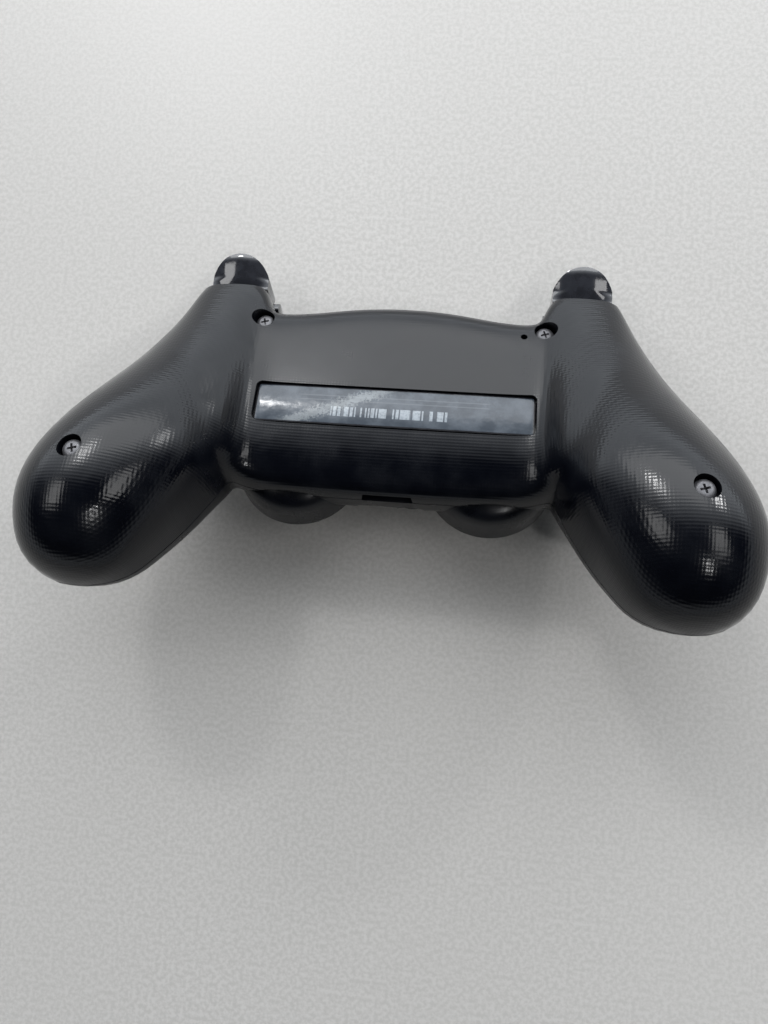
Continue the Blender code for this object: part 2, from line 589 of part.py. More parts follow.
def stick_arch_yoke(name, side):
    """The arched yoke that turns about y, and passes over the lower one."""
    x, y, z = side * STICK_X, STICK_Y, STICK_PIVOT_Z
    outline = arc((y, z), 5.9, 180, 360, 15) + arc((y, z), 4.9, 360, 180, 15)
    body = prism(name + "_arch_yoke", outline, "YZ", x - 2.5, x + 2.5, "white_plastic", (x, y, z))
    for i, sign in enumerate((-1, 1)):
        low, high = sorted((y + sign * 5.1, y + sign * 6.8))
        join(body, rod(name + "_arch_pin_" + str(i), (x, low, z), (x, high, z), .9, sides=16))
    cut(body, box(name + "_arch_slot", (x - 1.6, y - 3.6, z - 8), (x + 1.6, y + 3.6, z - 3)))


def stick_shaft(name, side):
    """The steel shaft from the yokes to the cap."""
    profile = [(0, 8.9), (.8, 8.9), (1.1, 8.2), (1.1, -3.3), (.8, -3.7), (0, -3.7)]
    pivot = (side * STICK_X, STICK_Y, STICK_PIVOT_Z)
    turned(name + "_shaft", profile, pivot, "bright_steel", pivot, steps=16)


def dome(radius, start, end, count):
    """Points on a sphere about the stick's pivot, by the angle from the stick's axis."""
    angles = np.radians(np.linspace(start, end, count))
    return [(radius * math.sin(a), STICK_PIVOT_Z - radius * math.cos(a)) for a in angles]


def stick_cap(name, side):
    """The soft-touch cap: a domed skirt, a neck, and a dished disc with a raised rim."""
    profile = [(0, -4), (1.45, -4), (1.45, -1.3)] + dome(SKIRT_R - .9, 26, 80, 5) + dome(SKIRT_R, 80, 22, 6)
    profile += [(3.7, -4.4), (5.4, -5.2), (9.2, -5.6), (CAP_R, -6.3), (CAP_R, -7.5), (9.4, -8.3),
                (8.8, CAP_TOP_Z), (8.1, -8.2), (6.5, -7.6), (3.4, -7.2), (0, -7.1)]
    pivot = (side * STICK_X, STICK_Y, STICK_PIVOT_Z)
    turned(name + "_cap", profile, pivot, "rubber_black", pivot, steps=24)


def sticks():
    """Both thumbsticks with all their pieces."""
    for name, side in SIDES:
        for make in (stick_module, stick_click_lever, stick_lower_yoke, stick_arch_yoke, stick_shaft, stick_cap):
            make(name + "_stick", side)


# ---------------------------------------------------------------- face controls
def d_pad():
    """The four-way pad and the disc that it rocks on."""
    pivot = (PAD_X, PAD_Y, 6.2)
    half, width = DPAD_REACH, DPAD_WIDTH / 2
    pad = box("d_pad", (PAD_X - half, PAD_Y - width, -1.5), (PAD_X + half, PAD_Y + width, 5.3), "shell_black", pivot)
    join(pad, box("d_pad_across", (PAD_X - width, PAD_Y - half, -1.5), (PAD_X + width, PAD_Y + half, 5.3)))
    cut(pad, rod("d_pad_dish", (PAD_X, PAD_Y, -2.5), (PAD_X, PAD_Y, -1.0), 2.2))
    rod("d_pad_pivot_disc", (PAD_X, PAD_Y, 5.7), (PAD_X, PAD_Y, 6.7), 3.4, "white_plastic", pivot)


def action_buttons():
    """Four round buttons, each with a flange that keeps it in."""
    for name, (x, y) in action_places().items():
        profile = [(0, 6.8), (BUTTON_R + .6, 6.8), (BUTTON_R + .6, 6.1), (BUTTON_R, 6.1), (BUTTON_R, -1.0),
                   (BUTTON_R - .5, -1.7), (BUTTON_R - 1.4, -1.95), (0, -2.05)]
        turned(name + "_action_button", profile, (x, y), "gloss_black", (x, y, 0), steps=20)


def small_buttons():
    """The two menu buttons beside the touchpad and the home button between the sticks."""
    for name, side in SIDES:
        w, h = MENU_SIZE[0] / 2, MENU_SIZE[1] / 2
        x = side * MENU_X
        box(name + "_menu_button", (x - w, MENU_Y - h, -.7), (x + w, MENU_Y + h, 4.0), "shell_black",
            (x, MENU_Y, 0), rounding=1.2, segments=3)
    profile = [(0, 3.9), (HOME_R + .7, 3.9), (HOME_R + .7, 3.0), (HOME_R, 3.0), (HOME_R, -.2),
               (HOME_R - .4, -.5), (HOME_R - 1, -.3), (0, -.1)]
    turned("home_button", profile, (0, HOME_Y), "shell_black", (0, HOME_Y, 0), steps=20)


def touchpad():
    """The clickable touch surface, hinged along its far edge."""
    half, near, far = TOUCH
    prism("touchpad", rounded(half, near, far, 1.2), "XY", -.5, 1.9, "shell_black", (0, far - .5, 1.5), rounding=.3)


def keypads():
    """The rubber membranes under the D-pad and the action buttons, and the printed film behind them."""
    for name, side in SIDES:
        x = side * PAD_X
        box(name + "_button_membrane", (x - 9, PAD_Y - 9.9, 8.3), (x + 9, PAD_Y + 9.4, 9.0), "rubber_black",
            rounding=.2)
    box("keypad_film", (-53.5, 10.2, 9.3), (53.5, 21.2, 9.6), "label_film")


# ---------------------------------------------------------------- electronics inside
def electronics():
    """Boards, sockets, battery and its tray, speaker, light bar and reset switch."""
    main = prism("main_board", rounded(33, -8.8, 13.5, 2), "XY", 12.0, 13.2, "board_green")
    cut(main, rod("board_hole", (0, 10, 5), (0, 10, 20), 1.5, sides=16))
    box("port_board", (-10, 21.5, 8.7), (32.2, 32.6, 9.6), "board_green")
    tray = box("battery_tray", (-26.2, 2.8, 13.5), (26.2, 30.2, 17.6), "white_plastic")
    cut(tray, box("tray_room", (-25.4, 3.6, 14.3), (25.4, 29.4, 30)),
        box("tray_lead_slot", (-6, 25, 15), (6, 40, 30)))
    box("battery", (-25, 4, 14.6), (25, 28, 19.3), "battery_wrap", rounding=.8)
    usb = box("charge_socket", (-3.8, 30.8, 10.5), (3.8, 36.4, 13.5), "bright_steel", rounding=.5)
    cut(usb, box("charge_socket_mouth", (-3.3, 32.5, 11), (3.3, 40, 13), rounding=.3))
    ext = box("extension_port", (-7.4, -12.3, 3.7), (1.6, -6.7, 8.1), "rubber_black", rounding=.4)
    cut(ext, box("extension_mouth", (-6.3, -15, 4.7), (.5, -8, 7.1)))
    jack = rod("headphone_jack", (5.5, -12.3, 5.9), (5.5, -6.7, 5.9), 3.0, "rubber_black")
    cut(jack, rod("jack_mouth", (5.5, -15, 5.9), (5.5, -7.9, 5.9), 1.75))
    box("speaker", (-7.5, 3.9, 3.3), (7.5, 9.9, 6.3), "rubber_black", rounding=.8)
    lens = box("light_bar_lens", (-13.9, 32.4, 3.6), (13.9, 35.4, 6.8), "clear_lens", rounding=.5)
    join(lens, box("light_guide", (-9, 28, 4.0), (9, 33, 6.4)))
    x, y = RESET
    switch = box("reset_switch", (x - 1.7, y - 1.7, 9.9), (x + 1.7, y + 1.7, 12.4), "bright_steel")
    cut(switch, rod("switch_bore", (x, y, 11.2), (x, y, 14), 1.1, sides=16))
    rod("reset_plunger", (x, y, 11.6), (x, y, 13.4), .75, "white_plastic", (x, y, 12), sides=16)


def rumble_motors():
    """A motor can in each grip, and the eccentric weight on its shaft; the left weight is the heavy one."""
    for name, side in SIDES:
        x, z = side * MOTOR_X, MOTOR_Z
        can = rod(name + "_motor", (x, -1, z), (x, -14.4, z), 5.8, "bright_steel")
        join(can, rod(name + "_motor_nose", (x, -14, z), (x, -15.4, z), 1.6, sides=16))
        cut(can, rod(name + "_motor_bearing", (x, -13, z), (x, -17, z), .9, sides=12))
        radius, thickness = (6.4, 4.6) if name == "left" else (5.2, 3.6)
        half_disc = arc((x, z), radius, 180, 360, 15) + arc((x, z), 1.7, 0, 180, 7)
        weight = prism(name + "_motor_weight", half_disc, "XZ", -16 - thickness, -16, "brass", (x, -16, z))
        join(weight, rod(name + "_motor_shaft", (x, -14, z), (x, -16.6, z), .6, sides=12))


def stand_on_table():
    """Slide the tilted controller until its lowest point is at z = 0, centred over the origin."""
    bpy.context.view_layer.update()
    graph = bpy.context.evaluated_depsgraph_get()
    corners = []
    for obj in PARTS.objects:
        if obj.type != "EMPTY":
            seen = obj.evaluated_get(graph)
            mesh = seen.to_mesh()
            corners += [seen.matrix_world @ v.co for v in mesh.vertices]
            seen.to_mesh_clear()
    corners = np.array(corners)
    low, high = corners.min(0), corners.max(0)
    lying_pose.location = (-(low[0] + high[0]) / 2, -(low[1] + high[1]) / 2, -low[2])
    bpy.context.view_layer.update()


back_shell()
front_shell()
case_screws()
rating_label()
shoulders()
sticks()
d_pad()
action_buttons()
small_buttons()
touchpad()
keypads()
electronics()
rumble_motors()
stand_on_table()
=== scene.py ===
"""The looks of the twin-grip game controller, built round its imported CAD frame.

Shapes are drawn in the controller's own frame in millimetres (z = 0 is the face with the thumbsticks,
+z the back cover, +y the triggers) and are then moved into the frame's lying pose.
"""

import math

import bmesh
import bpy
import numpy as np
from mathutils import Matrix, Vector


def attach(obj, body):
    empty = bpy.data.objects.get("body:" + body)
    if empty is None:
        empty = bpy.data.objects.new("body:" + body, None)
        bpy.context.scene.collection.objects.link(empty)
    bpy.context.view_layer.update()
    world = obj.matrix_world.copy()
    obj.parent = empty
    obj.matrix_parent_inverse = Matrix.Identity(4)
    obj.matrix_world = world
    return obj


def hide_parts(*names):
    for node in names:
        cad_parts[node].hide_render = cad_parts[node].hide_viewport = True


MM = 0.001
TILT = math.radians(16.7)                  # the trigger side lies lower by this much
ORIGIN = (0, -0.009806022, 0.010431284)    # the controller's own origin as it lies, in metres
BODY = Matrix.Translation(ORIGIN) @ Matrix.Rotation(-TILT, 4, "X") @ Matrix.Scale(MM, 4)
SIDES = (("left", 1), ("right", -1))
HOUSING = "housing"

# ---------------------------------------------------------------- dimensions shared with the CAD model
GAP, WALL = 0.3, 1.8
ALONG, ACROSS = 200, 30                    # facets of the covers
STICK_X, STICK_Y, STICK_PIVOT_Z = 24.5, -2.0, 8.0
STICK_OPENING_R, SKIRT_R, CAP_R, CAP_TOP_Z = 12.3, 11.6, 10.0, -8.5
BULGE_R, BULGE_WALL = 16.2, 1.6
PAD_X, PAD_Y, DPAD_REACH, DPAD_WIDTH = 43.5, 16.5, 10.0, 7.0
BUTTON_R, BUTTON_OFFSET = 4.4, 9.0
MENU_X, MENU_Y, MENU_SIZE = 31.6, 25.3, (3.0, 6.0)
HOME_Y, HOME_R = -1.5, 4.0
TOUCH = (28.0, 11.4, 33.8)
LABEL, LABEL_FLOOR_Z = (33.8, 0.5, 10.8), 21.35
SCREWS = (("shoulder", (35.8, 30.3, 19.5), (.29, -.26)), ("grip", (65.0, -19.5, 42.3), (-.15, -.16)))
HEAD_R, HEAD_H, SHANK_R, SHANK_L = 2.5, 1.8, 1.0, 9.0
SCREW_PROUD = 0.45                          # how far a head's crown stands above the edge of its seat
RESET = (30.5, 28.1)
GRID_PITCH, GRID_RELIEF = 0.74, 4.5e-6      # the covers' moulded grid: pitch in mm, relief in metres
TRIGGER_PIVOT, TRIGGER_X, TRIGGER_SKIRT_R = (38.5, 9.8), (37.9, 53.1), 8.3
TRIGGER_CROWN = 1.7                        # how much lower the head is at its edges than in the middle
TRIGGER_HEAD_R, TRIGGER_ROOT_HALF, TRIGGER_ROOT_Y = 8.2, 4.9, 42.95
ARM_END_Y = 41.0

# A row of control points runs from the near parting line to the far one. Each station gives the two ends and
# the heights of the back cover and of the face cover at these fractions of the way across.
BACK_STEPS = (0, .07, .24, .45, .68, .91, 1)
FACE_STEPS = (0, .09, .28, .5, .72, .91, 1)
STATIONS = (
    ((0, -14.8, 13), (0, 38.3, 9), (16.5, 19.3, 21.6, 22.6, 22.2, 22, 19.5), (6, .6, 0, 0, 0, .6, 5)),
    ((12, -14.8, 13), (12, 37.6, 9), (16.5, 19.3, 21.6, 22.6, 22.2, 22, 19.5), (6, .6, 0, 0, 0, .6, 5)),
    ((23, -14.6, 13), (23, 35.4, 9), (16.5, 19.4, 21.7, 22.6, 22.2, 22, 19.5), (6, .6, 0, 0, 0, .6, 5)),
    ((31, -14.3, 13.3), (31.5, 34.8, 9), (17, 19.8, 21.9, 22.7, 22.3, 21.8, 19.2), (6, .8, 0, 0, 0, .6, 5)),
    ((34.8, -13.8, 13.6), (35, 35.8, 9), (18, 21.6, 23, 23.2, 22.6, 21.6, 19), (6.5, 1.4, 0, 0, 0, .6, 5)),
    ((37.2, -13.1, 14), (36.6, 42, 9.5), (20, 25, 26, 24.8, 23.2, 21, 18.5), (7, 2, 0, 0, 0, .6, 5)),
    ((38.4, -13, 14.6), (41, 47.5, 10), (22, 28.5, 29.6, 27.4, 24, 20.8, 19), (8, 3, .5, 0, 0, .6, 5)),
    ((39.2, -13.8, 15.2), (53, 47.5, 11),
     (23.5, 30.5, 32, 30.2, 25.6, 20.6, 18.5), (9, 4, 1, .2, .2, .8, 5)),
    ((39.6, -14.6, 15.6), (57.2, 36.5, 12),
     (24.5, 31.5, 33.5, 32.2, 28, 21.6, 17.5), (9, 4, 1, .3, .5, 2, 6)),
    ((40.2, -16.2, 16), (61, 26.5, 13.5),
     (25.5, 33, 36, 35.5, 31.5, 24, 18.5), (10, 5.5, 1.8, .8, 1.6, 5, 9)),
    ((41, -18.6, 17), (66.8, 12.5, 16),
     (26.5, 35, 39, 39.6, 37, 29, 22.5), (11.5, 7.5, 3.5, 2.2, 3.5, 8, 12)),
    ((42.5, -22, 18), (75, -1.5, 19.5),
     (28, 36, 41.5, 43.6, 42, 34.5, 27), (13, 10, 6.5, 5.2, 6.5, 11.5, 15.5)),
    ((45.5, -28.5, 20), (82.2, -17.3, 23),
     (29.5, 36.5, 43, 45.8, 44.5, 38, 30.5), (15.5, 13.5, 10.5, 9.5, 11, 15.5, 18.5)),
    ((50, -35.8, 22), (82, -32, 25),
     (30.5, 35.5, 41.5, 44.4, 43.5, 38.4, 32.5), (18.5, 17.3, 15.5, 14.8, 15.5, 18.5, 21)),
    ((56.6, -44.3, 24), (76.2, -44.3, 26),
     (28.5, 31, 34, 35.3, 35, 32.5, 29.5), (22, 21, 20, 19.8, 20, 21.5, 22.5)),
)
GRIP_TIP = (66.4, -44.75, 25.2)

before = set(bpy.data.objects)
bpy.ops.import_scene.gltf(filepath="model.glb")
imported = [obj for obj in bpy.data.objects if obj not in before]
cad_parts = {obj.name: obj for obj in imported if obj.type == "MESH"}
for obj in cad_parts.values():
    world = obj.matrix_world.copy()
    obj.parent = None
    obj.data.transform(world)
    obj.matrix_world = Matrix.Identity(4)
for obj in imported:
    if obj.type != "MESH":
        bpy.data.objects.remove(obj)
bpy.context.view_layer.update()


# ---------------------------------------------------------------- node trees
class Nodes:
    """A small helper that writes one material's node tree."""

    def __init__(self, name):
        self.material = bpy.data.materials.new(name)
        self.material.use_nodes = True
        self.tree = self.material.node_tree
        self.shader = self.tree.nodes["Principled BSDF"]

    def add(self, kind, **settings):
        node = self.tree.nodes.new(kind)
        for key, value in settings.items():
            setattr(node, key, value)
        return node

    def put(self, socket, value):
        if isinstance(value, bpy.types.NodeSocket):
            self.tree.links.new(value, socket)
        else:
            socket.default_value = value

    def math(self, operation, a, b=None, clamp=False):
        node = self.add("ShaderNodeMath", operation=operation, use_clamp=clamp)
        self.put(node.inputs[0], a)
        if b is not None:
            self.put(node.inputs[1], b)
        return node.outputs[0]

    def own_frame(self):
        """Position in the controller's own frame, in millimetres."""
        coords = self.add("ShaderNodeTexCoord").outputs["Object"]
        shift = self.add("ShaderNodeVectorMath", operation="SUBTRACT")
        self.put(shift.inputs[0], coords)
        shift.inputs[1].default_value = ORIGIN
        turn = self.add("ShaderNodeVectorRotate", rotation_type="X_AXIS")
        self.put(turn.inputs["Vector"], shift.outputs[0])
        turn.inputs["Angle"].default_value = TILT
        scale = self.add("ShaderNodeVectorMath", operation="SCALE")
        self.put(scale.inputs[0], turn.outputs[0])
        scale.inputs["Scale"].default_value = 1 / MM
        return scale.outputs[0]

    def split(self, vector):
        node = self.add("ShaderNodeSeparateXYZ")
        self.put(node.inputs[0], vector)
        return node.outputs[0], node.outputs[1], node.outputs[2]

    def noise(self, vector, scale, detail=3.0, roughness=.55):
        node = self.add("ShaderNodeTexNoise")
        self.put(node.inputs["Vector"], vector)
        node.inputs["Scale"].default_value = scale
        node.inputs["Detail"].default_value = detail
        node.inputs["Roughness"].default_value = roughness
        return node.outputs["Fac"]

    def ramp(self, value, low, high, to_low=0.0, to_high=1.0, smooth=True):
        node = self.add("ShaderNodeMapRange", interpolation_type="SMOOTHSTEP" if smooth else "LINEAR")
        self.put(node.inputs["Value"], value)
        for name, number in (("From Min", low), ("From Max", high), ("To Min", to_low), ("To Max", to_high)):
            node.inputs[name].default_value = number
        return node.outputs["Result"]

    def mix(self, factor, a, b):
        node = self.add("ShaderNodeMix", data_type="RGBA")
        self.put(node.inputs["Factor"], factor)
        for index, colour in ((6, a), (7, b)):
            self.put(node.inputs[index], colour if isinstance(colour, bpy.types.NodeSocket) else (*colour, 1))
        return node.outputs[2]

    def bump(self, height, strength, distance, normal=None):
        node = self.add("ShaderNodeBump")
        node.inputs["Strength"].default_value = strength
        node.inputs["Distance"].default_value = distance
        self.put(node.inputs["Height"], height)
        if normal is not None:
            self.put(node.inputs["Normal"], normal)
        return node.outputs["Normal"]

    def finish(self, **sockets):
        for name, value in sockets.items():
            self.put(self.shader.inputs[name.replace("_", " ")], value)
        return self.material


# ---------------------------------------------------------------- materials
def moulded_black(name, grid=True, gloss_out=False):
    """Black moulded plastic: a fine square grid in relief, polish towards the grips, dust and smudges."""
    n = Nodes(name)
    place = n.own_frame()
    x, y, z = n.split(place)
    smudge = n.noise(place, .11, 4)
    speckle = n.noise(place, 9, 2)
    outward = n.math("ABSOLUTE", x)
    polish = n.ramp(outward, 34, 60, .20, .175) if gloss_out else .3
    rough = n.math("ADD", polish, n.ramp(smudge, .35, .75, -.05, .09))
    dust = n.ramp(n.math("MULTIPLY", n.noise(place, 2.3, 5, .7), n.ramp(z, 15, 24)), .62, .8, 0, .35)
    colour = n.mix(n.ramp(smudge, .3, .7), (.0013, .0017, .0034), (.003, .0037, .006))
    colour = n.mix(dust, colour, (.03, .031, .034))
    normal = n.bump(speckle, .12, .00002)
    if grid:
        turns = 2 * math.pi / GRID_PITCH
        waves = [n.math("SINE", n.math("MULTIPLY", c, turns)) for c in (x, y, z)]
        height = n.math("ADD", n.math("ADD", waves[0], waves[1]), waves[2])
        normal = n.bump(height, 1.0, GRID_RELIEF, normal)
    scratch_place = n.add("ShaderNodeMapping")
    n.put(scratch_place.inputs["Vector"], place)
    scratch_place.inputs["Scale"].default_value = (.02, 1.6, .3)
    scratch_place.inputs["Rotation"].default_value = (0, 0, .5)
    scratches = n.ramp(n.noise(scratch_place.outputs[0], 1.0, 6, .75), .74, .80, 0, 1)
    rough = n.math("ADD", rough, n.math("MULTIPLY", scratches, .14), clamp=True)
    return n.finish(Base_Color=colour, Roughness=rough, Normal=normal, IOR=1.5, Specular_IOR_Level=.31)


def glossy_black(name, colour=(.012, .013, .016), rough=.09):
    """Polished black plastic with faint waves and wipe marks."""
    n = Nodes(name)
    place = n.own_frame()
    wipe = n.noise(place, .35, 4)
    tint = n.mix(n.ramp(wipe, .3, .7), colour, tuple(c * 1.6 for c in colour))
    normal = n.bump(n.noise(place, .25, 2), .25, .0002)
    return n.finish(Base_Color=tint, Roughness=n.ramp(wipe, .4, .75, rough, rough + .07), Normal=normal,
                    IOR=1.52, Coat_Weight=.6, Coat_Roughness=.05)


def soft_rubber(name, colour=(.013, .013, .014)):
    """Soft-touch rubber: fine pebble and a slight sheen where fingers polish it."""
    n = Nodes(name)
    place = n.own_frame()
    pebble = n.noise(place, 5, 3)
    worn = n.noise(place, .4, 3)
    tint = n.mix(n.ramp(worn, .35, .7), colour, tuple(c * 1.9 for c in colour))
    return n.finish(Base_Color=tint, Roughness=n.ramp(worn, .3, .7, .62, .8),
                    Normal=n.bump(pebble, .5, .00005), Sheen_Weight=.15, Sheen_Roughness=.5)


def metal(name, colour, rough, brushed=(2, 2, 2), metallic=1.0):
    """Plated or blackened metal with fine drawn lines and stains."""
    n = Nodes(name)
    place = n.own_frame()
    stretch = n.add("ShaderNodeMapping")
    n.put(stretch.inputs["Vector"], place)
    stretch.inputs["Scale"].default_value = brushed
    lines = n.noise(stretch.outputs[0], 1.5, 4, .7)
    stain = n.noise(place, .8, 4)
    tint = n.mix(n.ramp(stain, .35, .7), colour, tuple(c * .72 for c in colour))
    return n.finish(Base_Color=tint, Metallic=metallic, Normal=n.bump(lines, .2, .00004),
                    Roughness=n.ramp(lines, .3, .7, rough - .07, rough + .09))


def plain_plastic(name, colour, rough=.5):
    """Unpainted moulded plastic with a faint flow pattern."""
    n = Nodes(name)
    place = n.own_frame()
    flow = n.noise(place, .5, 4)
    tint = n.mix(n.ramp(flow, .3, .7), colour, tuple(c * .86 for c in colour))
    return n.finish(Base_Color=tint, Roughness=n.ramp(flow, .3, .7, rough - .05, rough + .08),
                    Normal=n.bump(n.noise(place, 7, 2), .2, .00003))


def circuit_board(name):
    """Green solder mask over copper tracks, with tinned pads."""
    n = Nodes(name)
    place = n.own_frame()
    x, y, _ = n.split(place)
    cells = n.add("ShaderNodeTexVoronoi", distance="MANHATTAN", feature="F1")
    n.put(cells.inputs["Vector"], place)
    cells.inputs["Scale"].default_value = .35
    tracks = n.ramp(n.math("FRACT", n.math("MULTIPLY", cells.outputs["Distance"], 4)), .45, .55, smooth=False)
    pads = n.ramp(cells.outputs["Distance"], .10, .14, 1, 0)
    tint = n.mix(n.math("MULTIPLY", tracks, .6), (.012, .07, .03), (.03, .16, .06))
    tint = n.mix(pads, tint, (.6, .58, .5))
    return n.finish(Base_Color=tint, Roughness=.32, Metallic=pads, Normal=n.bump(tracks, .3, .00005))


def clear_lens(name):
    """Milky acrylic light guide."""
    n = Nodes(name)
    place = n.own_frame()
    cloud = n.noise(place, .8, 3)
    tint = n.mix(cloud, (.5, .53, .58), (.68, .7, .74))
    return n.finish(Base_Color=tint, Roughness=.18, Transmission_Weight=.35, IOR=1.49,
                    Normal=n.bump(cloud, .15, .0001))


def battery_wrap(name):
    """Heat-shrunk grey film over the cell, with a wrinkled surface and a plain colour band."""
    n = Nodes(name)
    place = n.own_frame()
    x, _, _ = n.split(place)
    wrinkle = n.noise(place, .6, 5)
    band = n.ramp(n.math("ABSOLUTE", n.math("SUBTRACT", x, 18)), 3.0, 3.2, 1, 0, smooth=False)
    tint = n.mix(band, (.15, .16, .19), (.05, .09, .2))
    return n.finish(Base_Color=tint, Roughness=n.ramp(wrinkle, .3, .7, .38, .55),
                    Normal=n.bump(wrinkle, .5, .0003))


def label_film(name):
    """Glossy blue-grey film: dark printed border, a generic bar pattern, faint ruled lines, worn gloss and a
    painted reflection.
    """
    n = Nodes(name)
    place = n.own_frame()
    x, y, _ = n.split(place)
    half, near, far = LABEL
    wear = n.noise(place, .22, 5, .65)
    grain = n.noise(place, 1.6, 5, .7)
    tint = n.mix(n.ramp(wear, .35, .68), (.034, .044, .058), (.070, .084, .103))
    # Bars of random width and brightness, in one block below the middle
    cells = n.add("ShaderNodeTexVoronoi", voronoi_dimensions="1D", feature="F1")
    n.put(cells.inputs["W"], n.math("MULTIPLY", x, 2.7))
    cells.inputs["Scale"].default_value = 1.0
    bar = n.ramp(n.split(cells.outputs["Color"])[0], .36, .42, smooth=False)
    wide = n.ramp(n.math("ABSOLUTE", n.math("ADD", x, 1.0)), 14.0, 14.2, 1, 0, smooth=False)
    high = n.ramp(n.math("ABSOLUTE", n.math("SUBTRACT", y, 4.15)), 1.25, 1.35, 1, 0, smooth=False)
    ink = n.math("MULTIPLY", n.math("MULTIPLY", bar, n.math("MULTIPLY", wide, high)),
                 n.ramp(grain, .3, .6, .35, .8))
    tint = n.mix(ink, tint, (.36, .40, .44))
    # Two faint printed rules in the upper part
    rules = n.math("ADD", *(n.ramp(n.math("ABSOLUTE", n.math("SUBTRACT", y, line)), .10, .18, .22, 0)
                            for line in (7.1, 8.3)))
    rules = n.math("MULTIPLY", rules, n.ramp(n.math("ABSOLUTE", x), 22, 24, 1, 0))
    tint = n.mix(rules, tint, (.2, .22, .24))
    edge_x = n.ramp(n.math("ABSOLUTE", x), half - .55, half - .35, smooth=False)
    edge_y = n.ramp(n.math("ABSOLUTE", n.math("SUBTRACT", y, (near + far) / 2)), (far - near) / 2 - .5,
                    (far - near) / 2 - .3, smooth=False)
    edge = n.math("MAXIMUM", edge_x, edge_y)
    tint = n.mix(edge, tint, (.006, .006, .008))
    # A pale streak across the left end: its colour is a painted reflection, and the film is worn rougher
    # there
    along = n.math("SUBTRACT", y, n.math("MULTIPLY", n.math("ADD", x, 26), .42))
    painted_glint_and_wear = n.ramp(n.math("ABSOLUTE", n.math("ADD", along, n.ramp(grain, 0, 1, -3.0, 2.0))), .4, 2.2, .32, 0)
    painted_glint_and_wear = n.math("MULTIPLY", painted_glint_and_wear, n.math("MULTIPLY", n.ramp(x, -31, -24), n.ramp(x, -6, 4, 1, 0)))
    painted_glint_and_wear = n.math("MULTIPLY", painted_glint_and_wear, n.math("SUBTRACT", 1.0, edge))
    # painted reflection: the streak's pale colour stands in for a glint of light on the film
    tint = n.mix(painted_glint_and_wear, tint, (.42, .45, .46))
    rough = n.math("ADD", n.ramp(wear, .3, .7, .13, .24), n.math("MULTIPLY", painted_glint_and_wear, .25))
    ripple = n.noise(place, .16, 3)
    return n.finish(Base_Color=tint, Roughness=rough, Normal=n.bump(ripple, .35, .0006), IOR=1.5,
                    Coat_Weight=.15, Coat_Roughness=.08, Specular_IOR_Level=.3)


def table_top(name):
    """Pale laminate with a fine mottled grain, thin scratches and scuffs."""
    n = Nodes(name)
    coords = n.add("ShaderNodeTexCoord").outputs["Object"]
    mottle = n.noise(coords, 900, 3, .6)
    cloud = n.noise(coords, 7, 4)
    tint = n.mix(n.ramp(mottle, .35, .65), (.43, .42, .405), (.51, .50, .485))
    tint = n.mix(n.ramp(cloud, .3, .7, 0, .25), tint, (.45, .438, .42))
    marks = None
    for angle, seed in ((.35, 3.1), (1.2, 9.7), (-.5, 17.3)):
        turn = n.add("ShaderNodeMapping")
        n.put(turn.inputs["Vector"], coords)
        turn.inputs["Location"].default_value = (seed, seed, 0)
        turn.inputs["Rotation"].default_value = (0, 0, angle)
        turn.inputs["Scale"].default_value = (260, 4.5, 1)
        lines = n.ramp(n.noise(turn.outputs[0], 1, 3, .5), .765, .785)
        marks = lines if marks is None else n.math("MAXIMUM", marks, lines)
    tint = n.mix(n.math("MULTIPLY", marks, .5), tint, (.16, .15, .145))
    return n.finish(Base_Color=tint, Roughness=n.ramp(mottle, .3, .7, .38, .5),
                    Normal=n.bump(mottle, .12, .0001))


MATERIALS = {
    "back_cover": moulded_black("back_cover_black", gloss_out=True),
    "face_cover": moulded_black("face_cover_black", grid=False),
    "trigger": glossy_black("trigger_black", (.016, .017, .021), .07),
    "gloss": glossy_black("button_black"),
    "smooth_black": moulded_black("smooth_black", grid=False),
    "rubber": soft_rubber("soft_rubber"),
    "screw": metal("blackened_steel", (.13, .13, .14), .45, metallic=.4),
    "steel": metal("bright_steel", (.55, .55, .57), .3, (.3, 4, 4)),
    "brass": metal("sintered_brass", (.6, .42, .16), .4),
    "white": plain_plastic("natural_acetal", (.68, .68, .65)),
    "board": circuit_board("circuit_board"),
    "battery": battery_wrap("battery_film"),
    "lens": clear_lens("light_guide_acrylic"),
    "label": label_film("label_film"),
    "film": plain_plastic("printed_film", (.16, .18, .2), .35),
}


# ---------------------------------------------------------------- building blocks
def new_object(name, bm):
    bmesh.ops.recalc_face_normals(bm, faces=bm.faces)
    mesh = bpy.data.meshes.new(name)
    bm.to_mesh(mesh)
    bm.free()
    obj = bpy.data.objects.new(name, mesh)
    bpy.context.scene.collection.objects.link(obj)
    return obj


def box(name, low, high):
    bm = bmesh.new()
    bmesh.ops.create_cube(bm, size=1)
    low, high = Vector(low), Vector(high)
    bmesh.ops.scale(bm, verts=bm.verts, vec=high - low)
    bmesh.ops.translate(bm, verts=bm.verts, vec=(low + high) / 2)
    return new_object(name, bm)


def add_rod(bm, start, end, radius, sides=48):
    start, end = Vector(start), Vector(end)
    turn = (end - start).to_track_quat("Z", "Y").to_matrix().to_4x4()
    bmesh.ops.create_cone(bm, cap_ends=True, segments=sides, radius1=radius, radius2=radius,
                          depth=(end - start).length, matrix=Matrix.Translation((start + end) / 2) @ turn)


def rod(name, start, end, radius, sides=48):
    bm = bmesh.new()
    add_rod(bm, start, end, radius, sides)
    return new_object(name, bm)


